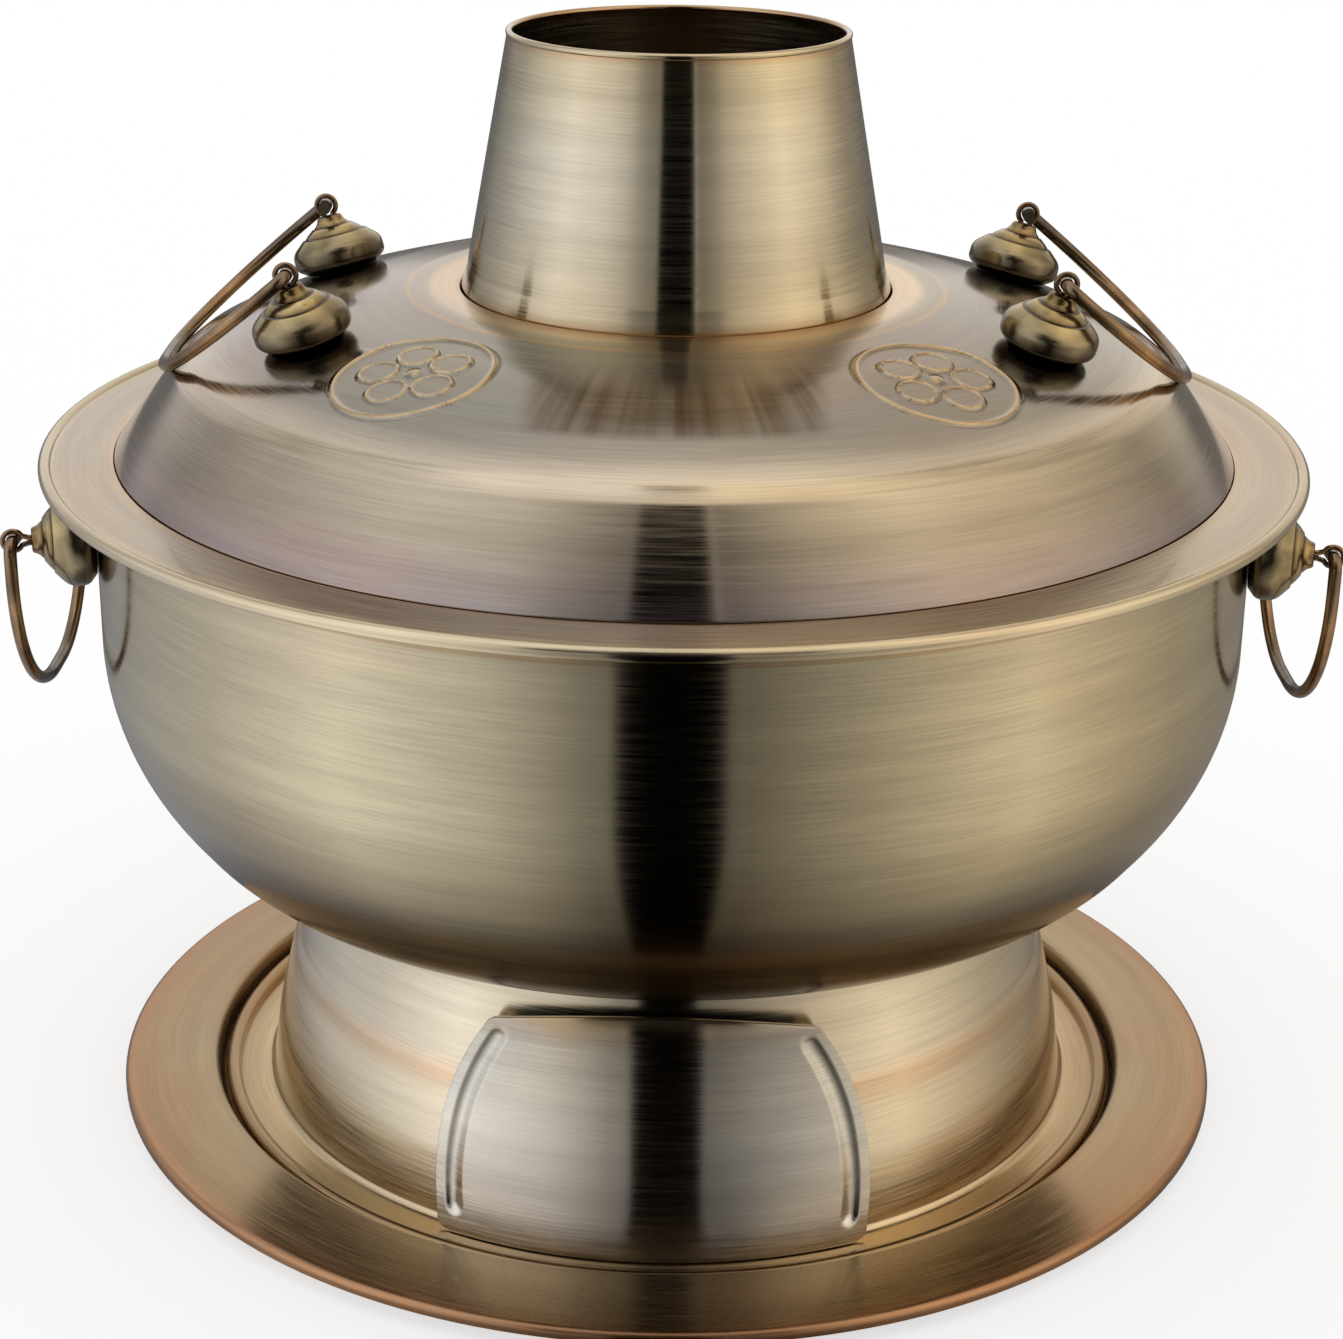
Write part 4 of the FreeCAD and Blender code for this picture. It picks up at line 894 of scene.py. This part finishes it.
def antique_brass(name, grooves):
    """Turned solid brass, dipped dark and rubbed back, so what stands proud is golden.

    The grooves are stops of height above a knob's foot, or place along a wire, and colour.
    """
    patch_size, roughness = 9 * MM, 0.22
    material, tree = material_tree(name)
    spot = add(tree, "ShaderNodeTexCoord").outputs["Object"]
    place = add(tree, "ShaderNodeAttribute", attribute_name="along").outputs["Fac"]
    length = grooves[-1][0]
    stops = [(along / length, shade) for along, shade in grooves]
    tint = ramp(tree, spread(tree, place, high=length * MM), stops, "LINEAR")
    patches = noise(tree, spot, 1 / patch_size, 3.0)
    colour = vectors(tree, "MULTIPLY", tint, spread(tree, patches, 0.35, 0.7, 0.55, 1.1))
    rough = spread(tree, patches, to_low=roughness + 0.1, to_high=roughness - 0.06)
    surface = add(tree, "ShaderNodeBsdfPrincipled", {
        "Base Color": colour, "Metallic": 1.0, "Roughness": rough, "Coat Weight": 0.2,
        "Coat Roughness": 0.08})
    add(tree, "ShaderNodeOutputMaterial", {"Surface": surface.outputs[0]})
    return material


knob_path = rounded(knob_corners)
# The colour runs from dark at the knob's foot, against the sheet, up to golden under the shoulder; the dark
# stops above that lie in its grooves.
knob_brass = antique_brass("knob_antique_brass", [
    (0.0, "#3E3424"), (1.0, "#4E4230"), (4.0, "#6E6350"), (8.0, "#958766"), (10.8, "#BCA878"),
    (11.05, "#3A2E1A"), (11.7, "#A08A5E"), (13.2, "#C8B07A"), (13.45, "#3A2E1A"), (14.3, "#AA9060"),
    (16.4, "#7E6642")])


def four_knobs(place):
    """Four knobs on their places, in one mesh. The lid's have a lower belly."""
    squeeze = 1 - place["Cut"] / knob_shoulder
    low = [Vector((point.x, point.y * squeeze if point.y < knob_shoulder else point.y - place["Cut"]))
           for point in knob_path]
    ups = [point.y for point in knob_path]
    knob = turned([(low, ups)], knob_brass, knob_steps)
    lean = place["Lean"]
    return closed(grown(
        places_tree, knob, Reach=(place["Reach"] + knob_room * math.sin(lean)) * MM,
        Height=(place["Height"] + knob_room * math.cos(lean)) * MM, Turn=place["Turn"], Lean=lean,
        Material=knob_brass))


piece("lid_knobs_turned", four_knobs(lid_knob_place), "lid", "polished_brass", "lid_knobs")
piece("pot_knobs_turned", four_knobs(pot_knob_place), "pot", "polished_brass", "pot_knobs")


# ------------------------------------------------------------------ eye pins
# A split pin of doubled brass wire through each knob. Its eye holds a bail's end,
# and its legs are splayed over a washer behind the sheet.

pin_wire = 0.72
pin_half = 1.4
eye_inside, eye_neck, eye_steps = 1.95, math.radians(28), 18
leg_reach, leg_bend, shank_rise = 6.5, 1.6, 1.2
washer_room, neck_room = 1.1, 1.4
pin_sides = 10
joints = {joint["name"]: joint for joint in frame["joints"]}

wire_tree, given = new_tree("wire", Radius="Float", Sides="Int", Material="Material")
route = add(wire_tree, "GeometryNodeMeshToCurve", {"Mesh": given["Geometry"]})
run = add(wire_tree, "GeometryNodeSplineParameter").outputs["Length"]
measured = add(wire_tree, "GeometryNodeStoreNamedAttribute",
               {"Geometry": route.outputs[0], "Name": "along", "Value": run},
               data_type="FLOAT", domain="POINT")
section = add(wire_tree, "GeometryNodeCurvePrimitiveCircle",
              {"Resolution": given["Sides"], "Radius": given["Radius"]})
drawn = add(wire_tree, "GeometryNodeCurveToMesh",
            {"Curve": measured.outputs[0], "Profile Curve": section.outputs["Curve"], "Fill Caps": True})
end_tree(wire_tree, drawn.outputs[0], given["Material"])


def wires(routes, radius, material, sides):
    """Round wires along open routes, in millimetres, in one mesh."""
    points, edges = [], []
    for route in routes:
        first = len(points)
        points += [point * MM for point in route]
        edges += [(first + index, first + index + 1) for index in range(len(route) - 1)]
    mesh = bpy.data.meshes.new("route")
    mesh.from_pydata(points, edges, [])
    drawn = grown(wire_tree, mesh, Radius=radius * MM, Sides=sides, Material=material)
    return closed(drawn, math.radians(50))


wire_brass = antique_brass("wire_antique_brass", [
    (0.0, "#6E6658"), (22.0, "#7A6854"), (45.0, "#A07E5A"), (70.0, "#8C775C"), (95.0, "#6C645A"),
    (112.0, "#96785A"), (140.0, "#A3835F"), (180.0, "#6E6658")])


def pin_route(eye, place):
    """A split pin's wire: leg, shank, round the eye and back to the other leg."""
    turn, lean = place["Turn"], place["Lean"]
    heading = Vector((math.sin(lean) * math.cos(turn), math.sin(lean) * math.sin(turn), math.cos(lean)))
    foot = Vector((place["Reach"] * math.cos(turn), place["Reach"] * math.sin(turn), place["Height"]))
    aside = Vector((0, 1, 0)).cross(heading).normalized()
    behind = foot - heading * (sheet_gauge + washer_room + pin_wire)
    ring = eye_inside + pin_wire
    loop = []
    for step in range(eye_steps + 1):
        way = eye_neck + (math.tau - 2 * eye_neck) * step / eye_steps
        loop.append(eye - heading * ring * math.cos(way) + aside * ring * math.sin(way))
    near = eye - heading * (ring + neck_room)
    halves = [[behind + out * leg_reach, behind + out * leg_bend,
               behind + out * pin_wire + heading * shank_rise, near + out * pin_wire]
              for out in (aside, -aside)]
    return halves[0] + loop + halves[1][::-1]


def four_pins(joint, node, place):
    """Four split pins whose eyes lie on the bails' pivots."""
    pivot = Vector(joints[joint]["pos_m"]) / MM
    eye = Vector((pivot.x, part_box(node)[1].y / MM - pin_half, pivot.z))
    route = pin_route(eye, place)
    return [[Vector((point.x * right, point.y * back, point.z)) for point in route]
            for right in (1, -1) for back in (1, -1)]


lid_pins = four_pins("lid_bail_right_swing", "lid_eye_pins", lid_knob_place)
pot_pins = four_pins("pot_bail_right_swing", "pot_eye_pins", pot_knob_place)
for name, body, pins in (("lid_split_pins", "lid", lid_pins), ("pot_split_pins", "pot", pot_pins)):
    piece(name, wires(pins, pin_wire, wire_brass, pin_sides), body, "polished_brass", body + "_eye_pins")
for node in ("lid_washers", "pot_washers"):
    frame["nodes"][node].data.materials[0] = knob_brass
frame["nodes"]["door_hook"].data.materials[0] = knob_brass


# --------------------------------------------------------------------- bails
# Four handles bent from brass wire. The ends of each bow turn inwards and pass
# through the eyes of two pins, so that it swings freely.

bail_wire, bail_reach, bail_corner, bail_flat = 1.7, 49.5, 3.2, 4.4
bail_end, bail_side_room, bail_sides = 3.2, 0.8, 20


def bail(joint, pins, hang):
    """A right-hand bail's wire through two pins, turned down from level by an angle."""
    pivot = Vector(joints[joint]["pos_m"]) / MM
    eye_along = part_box(pins)[1].y / MM - pin_half
    leg = eye_along + pin_half + bail_side_room + bail_wire
    inner = eye_along - pin_half - bail_end
    bow = leg - bail_flat
    flat = rounded([(0, inner), (0, leg, bail_corner), (bail_reach, leg, bow),
                    (bail_reach, -leg, bow), (0, -leg, bail_corner), (0, -inner)])
    turned_down = Matrix.Rotation(hang, 3, "Y")
    return [pivot + turned_down @ Vector((point.x, point.y, 0)) for point in flat]


def lying(joint, node):
    """How far a lid's bail is turned down, worked out from how low it reaches."""
    drop = joints[joint]["pos_m"][2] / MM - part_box(node)[0].z / MM
    return math.asin(drop / math.hypot(bail_reach, bail_wire)) - math.atan2(bail_wire, bail_reach)


lid_hang = lying("lid_bail_right_swing", "lid_bail_right")
lid_route = bail("lid_bail_right_swing", "lid_eye_pins", lid_hang)
pot_route = bail("pot_bail_right_swing", "pot_eye_pins", math.pi / 2)
for name, route in (("lid_bail", lid_route), ("pot_bail", pot_route)):
    for side, right in (("right", 1), ("left", -1)):
        bent = [Vector((point.x * right, point.y, point.z)) for point in route]
        node = name + "_" + side
        drawn = wires([bent], bail_wire, wire_brass, bail_sides)
        piece(node + "_wire", drawn, node, "polished_brass", node)
